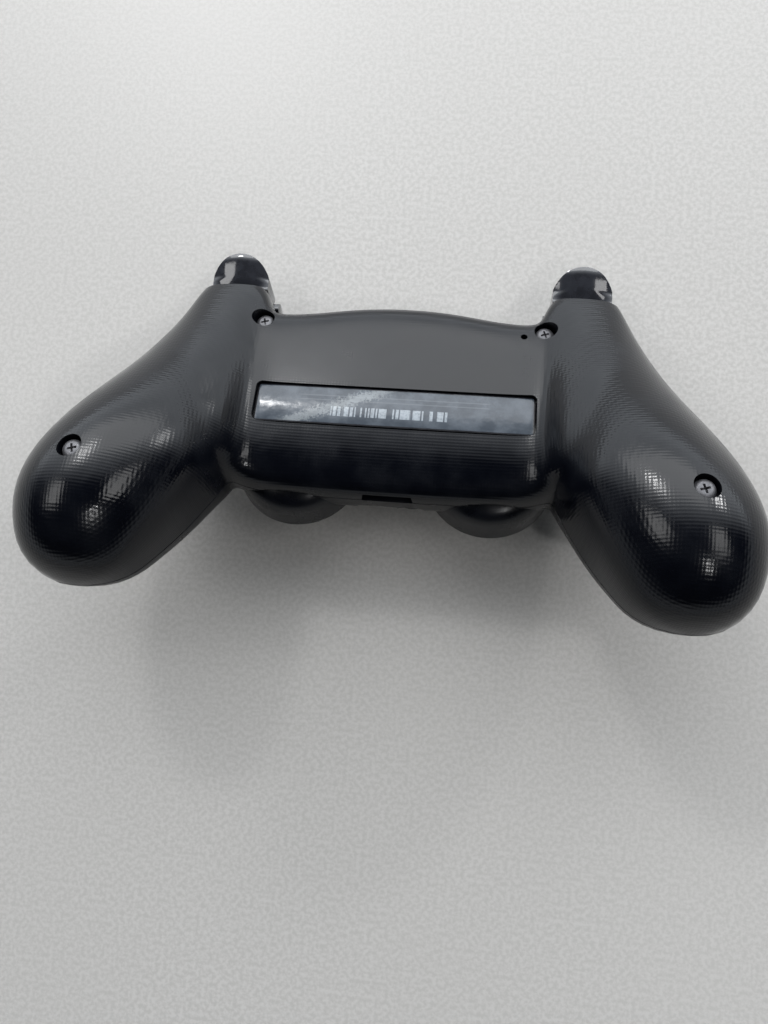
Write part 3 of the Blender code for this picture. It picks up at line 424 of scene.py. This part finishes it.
def turned(name, profile, centre, steps=72):
    """A body turned about z through centre, from a profile of (radius, z)."""
    bm = bmesh.new()
    row = [bm.verts.new((radius, 0, z)) for radius, z in profile]
    edges = [bm.edges.new(pair) for pair in zip(row, row[1:])]
    bmesh.ops.spin(bm, geom=row + edges, cent=(0, 0, 0), axis=(0, 0, 1), angle=2 * math.pi, steps=steps,
                   use_merge=True)
    bmesh.ops.remove_doubles(bm, verts=bm.verts, dist=1e-4)
    bmesh.ops.translate(bm, verts=bm.verts, vec=(centre[0], centre[1], 0))
    return new_object(name, bm)


def softened(profile, radius, count=4):
    """A profile with each inner corner replaced by a short curve."""
    out = [profile[0]]
    for before, at, after in zip(profile, profile[1:], profile[2:]):
        a, b, c = (np.array(p, float) for p in (before, at, after))
        reach = [min(radius, np.linalg.norm(d) * .45) for d in (a - b, c - b)]
        start = b + (a - b) / np.linalg.norm(a - b) * reach[0]
        end = b + (c - b) / np.linalg.norm(c - b) * reach[1]
        out += [tuple((1 - t) ** 2 * start + 2 * t * (1 - t) * b + t * t * end)
                for t in np.linspace(0, 1, count)]
    return out + [profile[-1]]


PLANES = {
    "XY": Matrix.Identity(4),
    "YZ": Matrix(((0, 0, 1, 0), (1, 0, 0, 0), (0, 1, 0, 0), (0, 0, 0, 1))),
    "XZ": Matrix(((1, 0, 0, 0), (0, 0, -1, 0), (0, 1, 0, 0), (0, 0, 0, 1))),
}


def prism(name, outline, plane, near, far):
    """A flat outline in one plane, extruded across it from near to far."""
    if plane == "XZ":
        near, far = -far, -near
    bm = bmesh.new()
    face = bm.faces.new([bm.verts.new((a, b, near)) for a, b in outline])
    made = bmesh.ops.extrude_face_region(bm, geom=[face])["geom"]
    moved = [v for v in made if isinstance(v, bmesh.types.BMVert)]
    bmesh.ops.translate(bm, verts=moved, vec=(0, 0, far - near))
    bmesh.ops.transform(bm, verts=bm.verts, matrix=PLANES[plane])
    bmesh.ops.triangulate(bm, faces=[f for f in bm.faces if len(f.verts) > 4])
    return new_object(name, bm)


def arc(centre, radius, start, end, count):
    angles = np.radians(np.linspace(start, end, count))
    return [(centre[0] + radius * math.cos(a), centre[1] + radius * math.sin(a)) for a in angles]


def rounded(half_x, low_y, high_y, radius, count=10):
    """The outline of a rectangle with round corners, about x = 0."""
    corners = ((half_x - radius, low_y + radius, -90), (half_x - radius, high_y - radius, 0),
               (radius - half_x, high_y - radius, 90), (radius - half_x, low_y + radius, 180))
    return [p for x, y, a in corners for p in arc((x, y), radius, a, a + 90, count)]


def bevel(obj, width, segments=3, angle=35):
    mod = obj.modifiers.new("bevel", "BEVEL")
    mod.width = width
    mod.segments = segments
    mod.limit_method = "ANGLE"
    mod.angle_limit = math.radians(angle)
    return obj


def boolean(obj, operation, tools):
    """One exact boolean with several tools at once; the tools are used up."""
    group = bpy.data.collections.new(obj.name + "_tools")
    for tool in tools:
        group.objects.link(tool)
    mod = obj.modifiers.new(operation.lower(), "BOOLEAN")
    mod.operation, mod.solver, mod.operand_type, mod.collection = operation, "EXACT", "COLLECTION", group
    bake(obj)
    for tool in tools:
        bpy.data.objects.remove(tool)
    bpy.data.collections.remove(group)
    return obj


def bake(obj):
    """Turn an object's modifiers into its mesh."""
    bpy.context.view_layer.update()
    mesh = bpy.data.meshes.new_from_object(obj.evaluated_get(bpy.context.evaluated_depsgraph_get()))
    obj.modifiers.clear()
    obj.data = mesh
    return obj


def piece(obj, body, material, slot, *replaced, sharp=32):
    """Bring a shape into the lying pose and hand it to its body."""
    bake(obj)
    obj.data.transform(BODY)
    obj.data.shade_smooth()
    obj.data.set_sharp_from_angle(angle=math.radians(sharp))
    obj.data.materials.clear()
    obj.data.materials.append(MATERIALS[material])
    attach(obj, body)
    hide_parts(*replaced)
    return obj


# ---------------------------------------------------------------- the moulded form of the two covers
def control_rows(cover, inset):
    """The control net of one cover, from one grip tip across to the other, inset for the space inside."""
    steps = BACK_STEPS if cover == "back" else FACE_STEPS
    half = []
    for near, far, back, face in STATIONS:
        near, far = np.array(near, float), np.array(far, float)
        inward = np.append((far - near)[:2], 0)
        inward *= inset / np.linalg.norm(inward)
        near, far = near + inward, far - inward
        heights = np.subtract(back, inset) if cover == "back" else np.add(face, inset)
        row = [near]
        for step, height in zip(steps, heights):
            x, y = (near + (far - near) * step)[:2]
            row.append(np.array((x, y, height)))
        row.append(far)
        half.append(row)
    half.append([np.array(GRIP_TIP, float) + (0, inset, 0)] * len(half[0]))
    half = np.array(half)
    return np.concatenate((half[:0:-1] * np.array((-1, 1, 1)), half))


def spline_weights(count, samples):
    """Clamped cubic B-spline weights of each control point at evenly spaced samples."""
    degree = 3
    knots = np.concatenate((np.zeros(degree), np.linspace(0, 1, count - degree + 1), np.ones(degree)))
    at = np.linspace(0, 1, samples + 1)
    inside = np.minimum(at, 1 - 1e-9)[:, None]
    weights = ((inside >= knots[:-1]) & (inside < knots[1:])).astype(float)
    for d in range(1, degree + 1):
        rise, fall = knots[d:-1] - knots[:-d - 1], knots[d + 1:] - knots[1:-d]
        up = np.divide(inside - knots[:-d - 1], rise, out=np.zeros((len(at), len(rise))), where=rise > 0)
        down = np.divide(knots[d + 1:] - inside, fall, out=np.zeros((len(at), len(fall))), where=fall > 0)
        weights = up * weights[:, :-1] + down * weights[:, 1:]
    return weights


def cover_points(cover, inset=0.0):
    net = control_rows(cover, inset)
    along, across = spline_weights(len(net), ALONG), spline_weights(net.shape[1], ACROSS)
    return np.einsum("ui,vj,ijk->uvk", along, across, net)


def cover_shell(name, cover, side):
    """One cover's outer and inner surfaces, joined along the parting line half a gap away from it."""
    bm = bmesh.new()
    lift = (0, 0, side * GAP / 2)
    outer, inner = ([[bm.verts.new(p + lift) for p in row] for row in cover_points(cover, inset)]
                    for inset in (0, WALL))
    last = len(outer[0]) - 1
    for i in range(len(outer) - 1):
        for grid in (outer, inner):
            for j in range(last):
                bm.faces.new((grid[i][j], grid[i + 1][j], grid[i + 1][j + 1], grid[i][j + 1]))
        for rim in (0, last):
            bm.faces.new((outer[i][rim], outer[i + 1][rim], inner[i + 1][rim], inner[i][rim]))
    bmesh.ops.remove_doubles(bm, verts=bm.verts, dist=0.001)
    bmesh.ops.dissolve_degenerate(bm, edges=bm.edges, dist=0.001)
    bmesh.ops.triangulate(bm, faces=bm.faces)
    return new_object(name, bm)


def bulge_profile(grow, base):
    """A stick's round housing: an upright wall that closes over in a dome."""
    corners = [(0, 15 + grow), (7.5, 15 + grow), (11.6 + grow, 14.3 + grow), (14.2 + grow, 12.9 + grow),
               (15.6 + grow, 11.2 + grow), (BULGE_R + grow, 9.2), (BULGE_R + grow, base)]
    return softened(corners, 1.6, 5)


def bulge_space(name, side, grow, base):
    return turned(name, bulge_profile(grow, base) + [(0, base)], (side * STICK_X, STICK_Y), steps=96)


def bulge_wall(name, side):
    outside = bulge_profile(0, 1.6) + [(BULGE_R - 1.2, .25)]
    inside = bulge_profile(-BULGE_WALL, .25)
    wall = turned(name, outside + inside[::-1], (side * STICK_X, STICK_Y), steps=96)
    return boolean(wall, "DIFFERENCE", [box(name + "_inner", (side * STICK_X - 20, -9.4, -5),
                                            (side * STICK_X + 20, 30, 30))])


def arm_end(name, side):
    bm = bmesh.new()
    bmesh.ops.create_cube(bm, size=1)
    bmesh.ops.scale(bm, verts=bm.verts, vec=(28, 20, 100))
    bmesh.ops.translate(bm, verts=bm.verts, vec=(0, 10, 10))
    bmesh.ops.rotate(bm, verts=bm.verts, matrix=Matrix.Rotation(-side * math.radians(2.5), 3, "Z"))
    bmesh.ops.translate(bm, verts=bm.verts, vec=(side * 46.5, ARM_END_Y - .2, 0))
    return new_object(name, bm)


def screw_places():
    return [(side_name + "_" + kind, (side * x, y, z), lean) for kind, (x, y, z), lean in SCREWS
            for side_name, side in SIDES]


def screw_boss(name, x, y, top, radius, lean):
    low, high = top - 5.4, top + .9
    bm = bmesh.new()
    add_rod(bm, (x, y, low), (x, y, high), radius)
    for vert in bm.verts:
        if vert.co.z > top:
            vert.co.z += lean[0] * (abs(vert.co.x) - abs(x)) + lean[1] * (vert.co.y - y)
    return new_object(name, bm)


def back_cover():
    """The back cover: screw wells, label recess, port notch, socket opening and squared arm ends."""
    cover = cover_shell("back_cover", "back", 1)
    boolean(cover, "UNION", [screw_boss(name + "_boss", x, y, top, 3.9, lean)
                             for name, (x, y, top), lean in screw_places()])
    tools = []
    for name, (x, y, top), _ in screw_places():
        seat = top - HEAD_H - GAP
        tools.append(rod(name + "_well", (x, y, seat), (x, y, top + 9), HEAD_R + GAP, 64))
        tools.append(rod(name + "_hole", (x, y, top - 30), (x, y, top - 1), SHANK_R + GAP, 24))
    half, near, far = LABEL
    recess = rounded(half + .25, near - .25, far + .25, 1.6)
    tools.append(prism("label_recess", recess, "XY", LABEL_FLOOR_Z, 30))
    tools.append(rod("reset_hole", (*RESET, 10), (*RESET, 30), .85, 32))
    tools.append(prism("port_notch", ((-7.4, 8), (7.4, 8), (5.8, 15.4), (-5.8, 15.4)), "XZ", -30, -11))
    tools.append(bake(bevel(box("charge_opening", (-4.4, 30, 10.2), (4.4, 45, 14.0)), .9, 5)))
    for name, side in SIDES:
        tools += [bulge_space(name + "_clearance", side, GAP, -4), arm_end(name + "_end", side)]
    boolean(cover, "DIFFERENCE", tools)
    piece(cover, HOUSING, "back_cover", "shell_black", "back_shell")


def action_places():
    return {"north": (-PAD_X, PAD_Y + BUTTON_OFFSET), "east": (-PAD_X + BUTTON_OFFSET, PAD_Y),
            "south": (-PAD_X, PAD_Y - BUTTON_OFFSET), "west": (-PAD_X - BUTTON_OFFSET, PAD_Y)}


def cross_outline(half, width):
    """The outline of a plus sign, anticlockwise."""
    out = []
    for turn in range(4):
        c, s = round(math.cos(turn * math.pi / 2)), round(math.sin(turn * math.pi / 2))
        for a, b in ((half, -width), (half, width), (width, width)):
            out.append((c * a - s * b, s * a + c * b))
    return out


def face_cover():
    """The face cover: stick bulges and every opening for a control."""
    cover = cover_shell("face_cover", "face", -1)
    boolean(cover, "UNION", [bulge_wall(name + "_bulge", side) for name, side in SIDES])
    boolean(cover, "DIFFERENCE", [bulge_space(name + "_room", side, -BULGE_WALL - .05, 2.1)
                                  for name, side in SIDES])
    tools = []
    for name, side in SIDES:
        x = side * STICK_X
        tools += [rod(name + "_stick_opening", (x, STICK_Y, -9), (x, STICK_Y, 4), STICK_OPENING_R, 96),
                  arm_end(name + "_end", side)]
        w, h = MENU_SIZE[0] / 2 + .3, MENU_SIZE[1] / 2 + .3
        x = side * MENU_X
        window = box(name + "_menu_window", (x - w, MENU_Y - h, -6), (x + w, MENU_Y + h, 5))
        tools.append(bake(bevel(window, 1.4, 6)))
    outline = [(PAD_X + a, PAD_Y + b) for a, b in cross_outline(DPAD_REACH + .55, DPAD_WIDTH / 2 + .55)]
    tools.append(prism("dpad_window", outline, "XY", -6, 6))
    for name, (x, y) in action_places().items():
        tools.append(rod(name + "_window", (x, y, -6), (x, y, 8), BUTTON_R + .3, 64))
    half, near, far = TOUCH
    tools.append(prism("touch_window", rounded(half + .3, near - .3, far + .3, 1.4), "XY", -6, 3.2))
    tools.append(rod("home_window", (0, HOME_Y, -6), (0, HOME_Y, 3.2), HOME_R + .3, 64))
    bm = bmesh.new()
    for x in (-5, -3, -1, 1, 3, 5):
        for y in (5.6, 7.7):
            add_rod(bm, (x, y, -4), (x, y, 3), .55, 20)
    tools.append(new_object("speaker_holes", bm))
    tools.append(bake(bevel(box("extension_opening", (-7.9, -20, 3.3), (2.1, -6, 8.5)), .6, 4)))
    tools.append(rod("jack_opening", (5.5, -20, 5.9), (5.5, -5.5, 5.9), 3.3))
    tools.append(bake(bevel(box("light_slot", (-14.3, 31, 3.2), (14.3, 45, 7.2)), .6, 4)))
    boolean(cover, "DIFFERENCE", tools)
    piece(cover, HOUSING, "face_cover", "shell_black", "front_shell")


# ---------------------------------------------------------------- smaller pieces
def screws():
    """Pan-head screws with a tapered cross recess."""
    for name, (x, y, top), _ in screw_places():
        top, low = top + SCREW_PROUD, top - HEAD_H
        head = softened([(0, top), (1.5, top), (2.2, top - .45), (HEAD_R, top - 1.1), (HEAD_R, low)], .35)
        profile = head + [(SHANK_R, low), (SHANK_R, low - SHANK_L + .8), (0, low - SHANK_L)]
        screw = turned(name + "_screw_fine", profile, (x, y), 64)
        blades = []
        for angle in (.3, .3 + math.pi / 2):
            bm = bmesh.new()
            made = bmesh.ops.create_cube(bm, size=1)["verts"]
            bmesh.ops.scale(bm, verts=made, vec=(2.9, .58, 2))
            for vert in made:
                if vert.co.z < 0:
                    vert.co.x *= .45
                    vert.co.y *= .7
            bmesh.ops.rotate(bm, verts=made, matrix=Matrix.Rotation(angle, 3, "Z"))
            bmesh.ops.translate(bm, verts=made, vec=(x, y, top))
            blades.append(new_object(name + "_cross", bm))
        boolean(screw, "DIFFERENCE", blades)
        piece(screw, HOUSING, "screw", "screw_steel", name + "_screw")


def label():
    """The rating label: a thin film plate with a soft edge."""
    half, near, far = LABEL
    plate = prism("label_plate", rounded(half, near, far, 1.4), "XY",
                  LABEL_FLOOR_Z + GAP, LABEL_FLOOR_Z + .75)
    bevel(plate, .12, 2)
    piece(plate, HOUSING, "label", "label_film", "rating_label")


def stick_caps():
    """Rubber caps: dished top with a knurled rim, neck and domed skirt."""
    def dome(radius, start, end, count):
        angles = np.radians(np.linspace(start, end, count))
        return [(radius * math.sin(a), STICK_PIVOT_Z - radius * math.cos(a)) for a in angles]

    for name, side in SIDES:
        skirt = [(0, -4), (1.45, -4), (1.45, -1.3)]
        skirt += dome(SKIRT_R - .9, 26, 80, 16) + dome(SKIRT_R, 80, 22, 20)
        top = [(3.7, -4.4), (5.4, -5.2), (9.2, -5.6), (CAP_R, -6.3), (CAP_R, -7.5), (9.4, -8.3),
               (8.8, CAP_TOP_Z), (8.1, -8.2), (6.5, -7.6), (3.4, -7.2), (0, -7.1)]
        cap = turned(name + "_stick_cap_fine", skirt + softened(top, .5, 4), (side * STICK_X, STICK_Y), 120)
        for vert in cap.data.vertices:      # fine knurling round the rim
            dx, dy = vert.co.x - side * STICK_X, vert.co.y - STICK_Y
            if math.hypot(dx, dy) > CAP_R - .15 and vert.co.z < -6:
                ridge = 1 - .012 * (1 + math.cos(60 * math.atan2(dy, dx)))
                vert.co.x, vert.co.y = side * STICK_X + dx * ridge, STICK_Y + dy * ridge
        piece(cap, name + "_stick_body", "rubber", "rubber_black", name + "_stick_cap", sharp=50)


def triggers():
    """Glossy triggers: a domed head with a flared lip, the hidden skirt and the web."""
    for name, side in SIDES:
        y, z = TRIGGER_PIVOT
        low, high = sorted((side * TRIGGER_X[0], side * TRIGGER_X[1]))
        middle = (low + high) / 2
        skirt = arc((y, z), TRIGGER_SKIRT_R, 62, 100, 24) + arc((y, z), TRIGGER_SKIRT_R - 1.5, 100, 62, 24)
        web = [(44.5, 9.6), (44.5, 16)] + arc((y, z), TRIGGER_SKIRT_R - .7, 60, 84, 12) + [(37.6, 13.4)] \
            + arc((y, z), 2.4, 140, 300, 24)
        head = trigger_head(name + "_trigger_fine", side, middle)
        a, b = sorted((side * 42.3, side * 47.0))
        boolean(head, "UNION", [prism(name + "_skirt", skirt, "YZ", low + 2.8, high - 2.8),
                                prism(name + "_web", web, "YZ", a, b)])
        boolean(head, "DIFFERENCE", [rod(name + "_bore", (side * 30, y, z), (side * 60, y, z), 1.3)])
        piece(head, name + "_trigger_body", "trigger", "gloss_black", name + "_trigger", sharp=40)


def trigger_head(name, side, middle):
    """The part of a trigger that a finger pulls, crowned across and curling up to a rolled lip."""
    y, z = TRIGGER_PIVOT
    top = softened(arc((y, z), TRIGGER_SKIRT_R, 66, 56, 3) + [
        (45.4, 18.1), (48.2, 19.3), (50.2, 20.1), (51.5, 20.2)], .9, 6)
    under = softened([(51.8, 19.6), (50.4, 17.6), (48.7, 14.8), (47.3, 11.8), (46.6, 9.6), (45.6, 9.1),
                      (42.4, 9.3), (42.2, 12.2), (41.6, 15.6)], .9, 6)
    low, high = sorted((side * TRIGGER_X[0], side * TRIGGER_X[1]))
    outline = top + under
    bm = bmesh.new()
    slices = []
    for x in np.linspace(low, high, 29):
        drop = TRIGGER_CROWN * ((x - middle) / (high - middle)) ** 2
        slices.append([bm.verts.new((x, a, b - drop * min(1, max(0, (a - 42) / 4)))) for a, b in outline])
    for near, far in zip(slices, slices[1:]):
        for i in range(len(outline)):
            j = (i + 1) % len(outline)
            bm.faces.new((near[i], near[j], far[j], far[i]))
    bm.faces.new(slices[0])
    bm.faces.new(slices[-1])
    bmesh.ops.triangulate(bm, faces=bm.faces)
    body = new_object(name, bm)
    half, root, root_y = TRIGGER_HEAD_R, TRIGGER_ROOT_HALF, TRIGGER_ROOT_Y
    plan = arc((middle, root_y + .35), half, 0, 180, 97)
    plan += [(middle + x, y) for x, y in ((-half, root_y), (-root, root_y), (-root, 20), (root, 20),
                                          (root, root_y), (half, root_y))]
    boolean(body, "INTERSECT", [prism(name + "_plan", plan, "XY", -5, 40)])
    bevel(body, .5, 4, 38)
    return bake(body)


def shoulder_buttons():
    """The short glossy button below each trigger, on its sliding stem."""
    for name, side in SIDES:
        low, high = sorted((side * 36.4, side * 54.4))
        nose = softened([(42.3, 2.6), (43.3, 2.1), (44.6, 3), (45.4, 4.8), (45.4, 6.8), (44.6, 8.1),
                         (43.4, 8.5), (42.3, 8.4), (42.3, 5.5)], .8, 6)
        bar = bake(bevel(prism(name + "_shoulder_button_fine", nose[1:], "YZ", low, high), .4, 3, 50))
        a, b = sorted((side * 41.4, side * 48.4))
        boolean(bar, "UNION", [box(name + "_stem", (a, 35.6, 4.9), (b, 43.6, 6.7))])
        piece(bar, name + "_shoulder_body", "gloss", "gloss_black", name + "_shoulder_button", sharp=40)


def face_controls():
    """D-pad, action buttons, menu buttons, home button and touchpad, with soft edges."""
    outline = [(PAD_X + a, PAD_Y + b) for a, b in cross_outline(DPAD_REACH, DPAD_WIDTH / 2)]
    pad = prism("d_pad_fine", outline, "XY", -1.5, 5.3)
    bake(bevel(pad, .5, 4))
    dish = turned("d_pad_dish", [(0, -.95), (1.2, -1.0), (2.4, -1.3), (3.2, -1.6), (3.2, -2.2), (0, -2.2)],
                  (PAD_X, PAD_Y), 48)
    boolean(pad, "DIFFERENCE", [dish])
    piece(pad, "d_pad_body", "smooth_black", "shell_black", "d_pad")
    for name, place in action_places().items():
        profile = softened([(0, 6.8), (BUTTON_R + .6, 6.8), (BUTTON_R + .6, 6.1), (BUTTON_R, 6.1),
                            (BUTTON_R, -1.0), (BUTTON_R - .5, -1.7), (BUTTON_R - 1.4, -1.95), (0, -2.05)],
                           .25, 5)
        button = turned(name + "_action_button_fine", profile, place, 72)
        piece(button, name + "_action_body", "gloss", "gloss_black", name + "_action_button")
    for name, side in SIDES:
        w, h = MENU_SIZE[0] / 2, MENU_SIZE[1] / 2
        x = side * MENU_X
        button = box(name + "_menu_button_fine", (x - w, MENU_Y - h, -.7), (x + w, MENU_Y + h, 4.0))
        piece(bevel(button, 1.2, 8), name + "_menu_body", "smooth_black", "shell_black",
              name + "_menu_button")
    profile = softened([(0, 3.9), (HOME_R + .7, 3.9), (HOME_R + .7, 3.0), (HOME_R, 3.0), (HOME_R, -.2),
                        (HOME_R - .4, -.5), (HOME_R - 1, -.3), (0, -.1)], .3, 5)
    home = turned("home_button_fine", profile, (0, HOME_Y), 72)
    piece(home, "home_body", "smooth_black", "shell_black", "home_button")
    half, near, far = TOUCH
    pad = prism("touchpad_fine", rounded(half, near, far, 1.2), "XY", -.5, 1.9)
    piece(bevel(pad, .3, 4), "touchpad_body", "smooth_black", "shell_black", "touchpad")


NODE_LOOKS = {
    "white": ("_trigger_bracket", "_click_lever", "_lower_yoke", "_arch_yoke", "d_pad_pivot_disc",
              "battery_tray", "reset_plunger"),
    "steel": ("_trigger_spring", "_stick_module", "_stick_shaft", "_motor", "charge_socket", "reset_switch"),
    "rubber": ("_trigger_pad", "_button_membrane", "extension_port", "headphone_jack", "speaker"),
    "brass": ("_motor_weight",),
    "board": ("main_board", "port_board"),
    "battery": ("battery",),
    "lens": ("light_bar_lens",),
    "film": ("keypad_film",),
}


def finish_cad_nodes():
    """Give every CAD piece that still shows its material, and smooth its shading."""
    for look, endings in NODE_LOOKS.items():
        for node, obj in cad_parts.items():
            if node.endswith(endings):
                obj.data.materials.clear()
                obj.data.materials.append(MATERIALS[look])
                obj.data.shade_smooth()
                obj.data.set_sharp_from_angle(angle=math.radians(38))


back_cover()
face_cover()
screws()
label()
stick_caps()
triggers()
shoulder_buttons()
face_controls()
finish_cad_nodes()


# ---------------------------------------------------------------- table, light and camera
def table():
    bm = bmesh.new()
    bmesh.ops.create_grid(bm, x_segments=8, y_segments=8, size=1.6)
    floor = new_object("table", bm)
    floor.data.materials.append(table_top("table_laminate"))


# Name, place in metres, size in metres and power in watts; each faces the object
LAMPS = (
    ("far_panel", (-.05, .62, .50), (1.0, .45), 3.2),
    ("side_left", (-.75, .05, 1.0), (.5, .4), 2.5),
    ("side_right", (.75, .05, 1.0), (.5, .4), 2.5),
    ("window_left", (-.38, .78, .83), (.15, .09), 2.2),
    ("window_right", (.66, .63, .47), (.12, .09), 1.6),
    ("bench_lamp", (.42, -.50, 1.05), (.05, .05), 1.3),
)


def studio():
    """Soft sky that is bright beyond the triggers and dim on the near side, with lamps at the sides."""
    world = bpy.data.worlds.new("studio")
    bpy.context.scene.world = world
    world.use_nodes = True
    tree = world.node_tree
    back = tree.nodes["Background"]
    coords = tree.nodes.new("ShaderNodeTexCoord")
    split = tree.nodes.new("ShaderNodeSeparateXYZ")
    tree.links.new(coords.outputs["Generated"], split.inputs[0])

    def ramp(value, low, high, to_low, to_high):
        node = tree.nodes.new("ShaderNodeMapRange")
        node.interpolation_type = "SMOOTHSTEP"
        tree.links.new(value, node.inputs["Value"])
        for name, number in (("From Min", low), ("From Max", high), ("To Min", to_low), ("To Max", to_high)):
            node.inputs[name].default_value = number
        return node.outputs["Result"]

    beyond = ramp(split.outputs[1], .18, .66, .02, 2.1)
    horizon = ramp(split.outputs[2], .0, .30, .55, 0)
    total = tree.nodes.new("ShaderNodeMath")
    tree.links.new(beyond, total.inputs[0])
    tree.links.new(horizon, total.inputs[1])
    tree.links.new(total.outputs[0], back.inputs["Strength"])
    back.inputs["Color"].default_value = (.90, .95, 1.0, 1)
    for name, place, size, power in LAMPS:
        lamp = bpy.data.lights.new(name, "AREA")
        lamp.shape = "RECTANGLE"
        lamp.size, lamp.size_y = size
        lamp.energy = power
        obj = bpy.data.objects.new(name, lamp)
        obj.location = place
        obj.rotation_euler = (-Vector(place)).to_track_quat("-Z", "Y").to_euler()
        bpy.context.scene.collection.objects.link(obj)


LENS_ANGLES = (14.406, 68.006, -9.405)                # azimuth, elevation and roll in the controller's frame
ORIGIN_FROM_LENS = (2.98373, -11.41291, 203.55774)    # across, down and forward from the lens, in mm
SENSOR, LENS_TO_PICTURE = 36, 770 / 1024              # mm, and focal length over the picture's height


def camera():
    """The lens stands over the near side, looks down steeply and leans a little to one side."""
    azimuth, elevation, roll = (math.radians(a) for a in LENS_ANGLES)
    forward = Vector((-math.sin(azimuth) * math.cos(elevation), math.cos(azimuth) * math.cos(elevation),
                      -math.sin(elevation)))
    across = forward.cross(Vector((0, 0, 1))).normalized()
    down = forward.cross(across)
    spin = Matrix.Rotation(roll, 3, "Z")
    axes = spin @ Matrix((across, down, forward))
    where = -(axes.transposed() @ Vector(ORIGIN_FROM_LENS))
    turn = Matrix((axes[0], -axes[1], -axes[2])).transposed().to_4x4()
    data = bpy.data.cameras.new("camera")
    data.sensor_width = SENSOR
    data.lens = LENS_TO_PICTURE * SENSOR
    data.clip_start, data.clip_end = .005, 20
    obj = bpy.data.objects.new("camera", data)
    bpy.context.scene.collection.objects.link(obj)
    lying = Matrix.Rotation(-TILT, 4, "X")
    obj.matrix_world = Matrix.Translation(BODY @ where) @ (lying @ turn)
    bpy.context.scene.camera = obj


table()
studio()
camera()
bpy.context.scene.view_settings.view_transform = "Standard"
